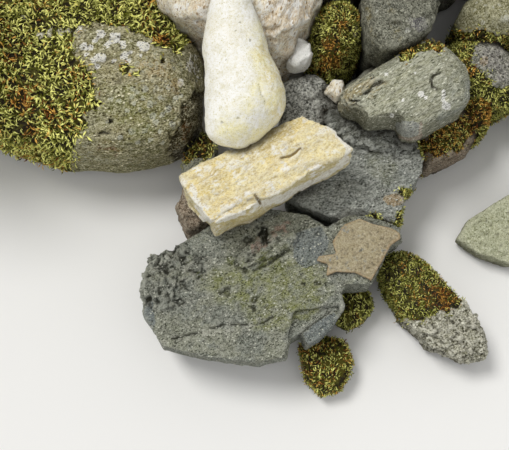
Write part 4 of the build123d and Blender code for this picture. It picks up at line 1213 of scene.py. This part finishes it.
# %% Traits
MOSSY = dict(lump=0.003, fine=0.001)
HIDDEN = dict(lump=0.002, ridges=0.002)
CHIP = dict(lump=0.0015, lump_size=0.014, chips=0.002, chip_size=0.014, fine=0.0003)
TRAITS = {
    "mossy_boulder": ("olive", 0.0032, 22, boulder_relief),
    "pink_boulder": ("pinkish", 0.0036, 3, pink_relief),
    "pale_club_stone": ("cream", 0.0022, 9, club_relief),
    "yellow_block": ("yellow", 0.0019, 2, block_relief),
    "dark_slab": ("slab", 0.0020, 2, slab_relief),
    "tan_crust": ("crust", 0.0014, 1, crust_relief),
    "grey_ledge": ("ledge", 0.0024, 3, ledge_relief),
    "long_boulder": ("foliated", 0.0021, 26, long_relief),
    "pointed_mossy_stone": ("speckled", 0.0024, 3, pointed_relief),
    "dark_angular_stone": ("dark", 0.0034, 2, dark_relief),
    "pale_corner_stone": ("corner", 0.0034, 9, corner_relief),
    "mossy_grey_stone": ("purple", 0.0034, 4, purple_relief),
    "grey_wedge": ("wedge", 0.0025, 2, dict(lump=0.002, chips=0.004, chip_size=0.022, ridges=0.001,
                                            pits=0.0008, fine=0.0007)),
    "small_white_stone": ("white", 0.0016, 2, {**CHIP, "lump": 0.0012}),
    "lawn_stone": ("lawn", 0.0028, 7, dict(lump=0.002, ridges=0.001, pits=0.0006, fine=0.0004)),
    "pinkish_prop": ("rubble", 0.0028, 2, dict(lump=0.003, chips=0.004, chip_size=0.02, fine=0.0007)),
    "pinning_chips": ("pinkish", 0.0016, 2, CHIP),
    "mossy_round_stone": ("under_moss", 0.0040, 8, MOSSY, 1.0),
    "moss_cushion_stone": ("under_moss", 0.0038, 9, MOSSY, 1.0),
    "mossy_bearer_side": ("under_moss", 0.0032, 14, MOSSY, 0.9),
    "mossy_bearer_front": ("under_moss", 0.0032, 14, {**MOSSY, "ridges": 0.002}, 0.9),
    "brown_moss_stone": ("rubble", 0.0036, 4, {**MOSSY, "ridges": 0.002}, 0.36),
    "shadow_stone": ("dark", 0.0036, 3, {**HIDDEN, "fine": 0.0006}, 0.4),
    "slab_bearers": ("dark", 0.0050, 3, HIDDEN),
    "boulder_bearer": ("dark", 0.0050, 3, HIDDEN),
}
WALLING_FINISHES = ["grey_walling", "olive_walling", "buff_walling", "cool_walling", "olive_walling",
                    "grey_walling", "buff_walling"]
WALLING_CARVING = dict(lump=0.004, lump_size=0.09, grain=(1, 0, 0.08), stretch=2.0, layers=0.004,
                       layer_size=0.05, layer_step=0.003, chips=0.009, chip_size=0.050,
                       ridges=0.0016, ridge_size=0.03, pits=0.0012, pit_size=0.014, fine=0.0014,
                       fine_size=0.010)
WALLING_SKIN, WALLING_WEAR, WALLING_MOSS, WALLING_SHARE = 0.0062, 2, 0.20, 0.5
FIRST_SEED, SEED_STRIDE = 100, 80
print("stones with traits of their own:", len(TRAITS))


# %% Dress the stones
def moss_above(points, normals, mossiness, seed):
    """Moss that gathers on upper sides in drifts, more of it on a mossier stone."""
    drifts = rough(points, 0.05, seed + 60, 3)
    start = 0.9 - 1.25 * mossiness
    return step(normals[:, 2] * 0.5 + drifts, start, start + 0.1)


def dressed_stone(name, count):
    """One stone's skin, carved, marked, bedded for moss and finished."""
    kind = WALLING_FINISHES[count % len(WALLING_FINISHES)]
    walling = (kind, WALLING_SKIN, WALLING_WEAR, WALLING_CARVING, WALLING_MOSS)
    finish, voxel, wear, carving, mossiness = (TRAITS.get(name, walling) + (0.0,))[:5]
    stone = skin_of(name, voxel, wear)
    points, normals = read_points(stone.data), read_normals(stone.data)
    seed = FIRST_SEED + SEED_STRIDE * count
    if callable(carving):
        move, masks = carving(points, seed)
    else:
        move, masks = carve(points, seed, **carving), {}
    moss = masks.pop("moss", np.zeros(len(points)))
    if mossiness:
        moss = moss_above(points, normals, mossiness, seed)
    for label, values in masks.items():
        write_mask(stone.data, label, values)
    bed_moss(name, stone.data, move, moss * step(normals[:, 2], -0.35, 0.05), seed)
    if name not in TRAITS:
        thinned(stone, WALLING_SHARE)
    weather(name, stone.data, seed)
    stone.data.materials.append(FINISHES[finish])
    print(f"{name}: {triangles_in(stone)} triangles")
    return stone


stones = {name: dressed_stone(name, count) for count, name in enumerate(sorted(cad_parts))}
print("skins:", len(stones), "triangles:", sum(triangles_in(stone) for stone in stones.values()))

# %% [markdown]
# ## Moss
# Seen close, the moss is thousands of short strands that lie over each other, bright along their
# length, with dark gaps between. One strand, a bent spindle of six faces, is modelled, and
# Geometry Nodes scatter it over the skins where shoots were marked, each turned, tilted and
# sized at random. The tree ends in Realize Instances and Set Material, and the result becomes a
# plain mesh.

# %% One strand of moss
STRAND_LENGTH, STRAND_WIDTH, STRAND_ROOT = 0.0086, 0.0019, 0.0010
STRAND_LEAN, STRAND_BEND, STRAND_KEEL = math.radians(58), 0.14, 0.6
UPRIGHT = np.array([0, 0, 1.0])
lean_way = np.array([math.sin(STRAND_LEAN), 0, math.cos(STRAND_LEAN)])
bend = 0.5 * STRAND_LENGTH * lean_way + STRAND_BEND * STRAND_LENGTH * UPRIGHT
side = np.array([0, STRAND_WIDTH / 2, 0])
strand_points = [-STRAND_ROOT * UPRIGHT, bend + side, bend - side,
                 bend - STRAND_KEEL * STRAND_WIDTH * UPRIGHT, STRAND_LENGTH * lean_way]
strand_faces = [face for a, b in ((1, 2), (2, 3), (3, 1)) for face in ((0, b, a), (4, a, b))]
strand_mesh = bpy.data.meshes.new("moss_strand")
strand_mesh.from_pydata([tuple(point) for point in strand_points], [], strand_faces)
write_mask(strand_mesh, "tip", np.array([0.0, 0.8, 0.8, 0.4, 1.0]))
strand = bpy.data.objects.new("moss_strand", strand_mesh)
bpy.context.scene.collection.objects.link(strand)
print("strand:", len(strand_faces), "faces")

# %% [markdown]
# The moss finish runs from a dark foot to a yellow-green tip. A slow noise turns parts of it
# red-brown, as old moss is, and each strand has a tone of its own.

# %% Moss finish
GREEN_SHOOTS, BROWN_SHOOTS = ((88, 92, 0), (255, 255, 150)), ((104, 56, 6), (236, 184, 88))
SHOOT_FOOT = (34, 24, 4)
moss_finish = bpy.data.materials.new("moss")
moss_finish.use_nodes = True
tree = moss_finish.node_tree
shader = tree.nodes["Principled BSDF"]
place = node(tree, "ShaderNodeTexCoord").outputs["Object"]
age = use_group(tree, mottle, place, Size=26.0)
own = ramp(tree, mask(tree, "tone"), 0.10, 0.92)
green = blend(tree, own, *[tone(*shade) for shade in GREEN_SHOOTS])
brown = blend(tree, own, *[tone(*shade) for shade in BROWN_SHOOTS])
drawn = maths(tree, "FRACT", maths(tree, "MULTIPLY", mask(tree, "tone"), 13.7))
aged = maths(tree, "ADD", maths(tree, "MULTIPLY_ADD", age["Cloud"], 0.5, -0.25), mask(tree, "brown"))
aged = maths(tree, "MULTIPLY_ADD", drawn, 0.9, maths(tree, "SUBTRACT", aged, 0.52))
fresh = blend(tree, ramp(tree, aged, 0.42, 0.60), green, brown)
shoot = blend(tree, ramp(tree, mask(tree, "tip"), 0.0, 0.5), tone(*SHOOT_FOOT), fresh)
tree.links.new(shoot, shader.inputs["Base Color"])
shader.inputs["Roughness"].default_value = 0.75
shader.inputs["Specular IOR Level"].default_value = 0.3

# %% Moss scatter tree
STRAND_TILT, TONE_SEED = 0.45, 77
scatter = bpy.data.node_groups.new("moss scatter", "GeometryNodeTree")
scatter.interface.new_socket("Geometry", in_out="INPUT", socket_type="NodeSocketGeometry")
for label, value in (("Density", 200000.0), ("Smallest", 0.6), ("Largest", 1.25), ("Brightest", 1.0)):
    socket = scatter.interface.new_socket(label, in_out="INPUT", socket_type="NodeSocketFloat")
    socket.default_value = value
scatter.interface.new_socket("Seed", in_out="INPUT", socket_type="NodeSocketInt")
scatter.interface.new_socket("Geometry", in_out="OUTPUT", socket_type="NodeSocketGeometry")
given = scatter.nodes.new("NodeGroupInput").outputs
result = scatter.nodes.new("NodeGroupOutput").inputs


def geo(kind, links=None, **settings):
    return node(scatter, kind, links, **settings)


grows = geo("GeometryNodeInputNamedAttribute", data_type="FLOAT")
grows.inputs["Name"].default_value = "shoots"
amount = geo("ShaderNodeMath", {0: grows.outputs["Attribute"], 1: given["Density"]}, operation="MULTIPLY")
points_node = geo("GeometryNodeDistributePointsOnFaces",
                  {"Mesh": given["Geometry"], "Density": amount.outputs[0], "Seed": given["Seed"]})
spin = geo("FunctionNodeRandomValue", {"Seed": given["Seed"]}, data_type="FLOAT_VECTOR")
spin.inputs[0].default_value = (-STRAND_TILT, -STRAND_TILT, 0.0)
spin.inputs[1].default_value = (STRAND_TILT, STRAND_TILT, 2 * math.pi)
turned = geo("FunctionNodeRotateRotation",
             {"Rotation": points_node.outputs["Rotation"], "Rotate By": spin.outputs[0]},
             rotation_space="LOCAL")
size = geo("FunctionNodeRandomValue", {"Seed": given["Seed"]}, data_type="FLOAT")
scatter.links.new(given["Smallest"], size.inputs[2])
scatter.links.new(given["Largest"], size.inputs[3])
model = geo("GeometryNodeObjectInfo")
model.inputs["Object"].default_value = strand
placed = geo("GeometryNodeInstanceOnPoints",
             {"Points": points_node.outputs["Points"], "Instance": model.outputs["Geometry"],
              "Rotation": turned.outputs[0], "Scale": size.outputs[1]})
own_tone = geo("FunctionNodeRandomValue", data_type="FLOAT")
own_tone.inputs["Seed"].default_value = TONE_SEED
scatter.links.new(given["Brightest"], own_tone.inputs[3])
toned = geo("GeometryNodeStoreNamedAttribute",
            {"Geometry": placed.outputs[0], "Value": own_tone.outputs[1]},
            data_type="FLOAT", domain="INSTANCE")
toned.inputs["Name"].default_value = "tone"
real = geo("GeometryNodeRealizeInstances", {"Geometry": toned.outputs[0]})
dressed = geo("GeometryNodeSetMaterial", {"Geometry": real.outputs[0]})
dressed.inputs["Material"].default_value = moss_finish
scatter.links.new(dressed.outputs[0], result["Geometry"])


# %% Grow the moss
SOCKETS = {socket.name: socket.identifier
           for socket in scatter.interface.items_tree if socket.in_out == "INPUT"}
KEPT_MASKS = ("tip", "tone", "brown", "position")
STRANDS = {
    "moss_on_boulder": (["mossy_boulder"], 230000.0, 0.5, 1.3, 1.0, 1),
    "moss_on_round_stone": (["mossy_round_stone"], 460000.0, 0.35, 0.75, 0.9, 2),
    "moss_on_pointed_stone": (["pointed_mossy_stone"], 460000.0, 0.35, 0.7, 0.7, 3),
    "moss_at_right": (["moss_cushion_stone", "brown_moss_stone", "mossy_grey_stone",
                       "pale_corner_stone", "grey_ledge", "long_boulder"],
                      420000.0, 0.35, 0.75, 0.95, 4),
    "moss_under_slab": (["mossy_bearer_front", "mossy_bearer_side", "shadow_stone"],
                        320000.0, 0.35, 0.8, 0.8, 11),
    "moss_on_walling": ([name for name in stones if name not in TRAITS], 45000.0, 0.9, 1.6, 0.9, 20),
}


def grow_moss(name, bases, density, smallest, largest, brightest, seed):
    """Moss strands over the mossy parts of some skins, as one plain mesh."""
    parts = []
    for count, base in enumerate(bases):
        piece = bpy.data.objects.new(name, stones[base].data.copy())
        bpy.context.scene.collection.objects.link(piece)
        modifier = piece.modifiers.new("scatter", "NODES")
        modifier.node_group = scatter
        for label, value in (("Density", density), ("Smallest", smallest), ("Largest", largest),
                             ("Brightest", brightest), ("Seed", seed + count)):
            modifier[SOCKETS[label]] = value
        parts.append(flattened(piece))
    whole = parts[0]
    if len(parts) > 1:
        with bpy.context.temp_override(active_object=whole, selected_editable_objects=parts):
            bpy.ops.object.join()
    whole.name = name
    for extra in [layer.name for layer in whole.data.attributes if layer.domain == "POINT"]:
        if extra not in KEPT_MASKS and not extra.startswith("."):
            whole.data.attributes.remove(whole.data.attributes[extra])
    print(f"{name}: {triangles_in(whole)} triangles")
    return whole


mosses = [grow_moss(name, *row) for name, row in STRANDS.items()]
bpy.data.objects.remove(strand)
print("moss:", len(mosses), "triangles:", sum(triangles_in(growth) for growth in mosses))

# %% [markdown]
# ## Handing over
# Each skin rides on the wall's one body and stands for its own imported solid. The moss rides too.

# %% Ride, replace and finish
for name, stone in stones.items():
    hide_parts(name)
    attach(stone, "root")
for growth in mosses:
    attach(growth, "root")
low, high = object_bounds()
print("visual size:", [round(v, 3) for v in high - low])
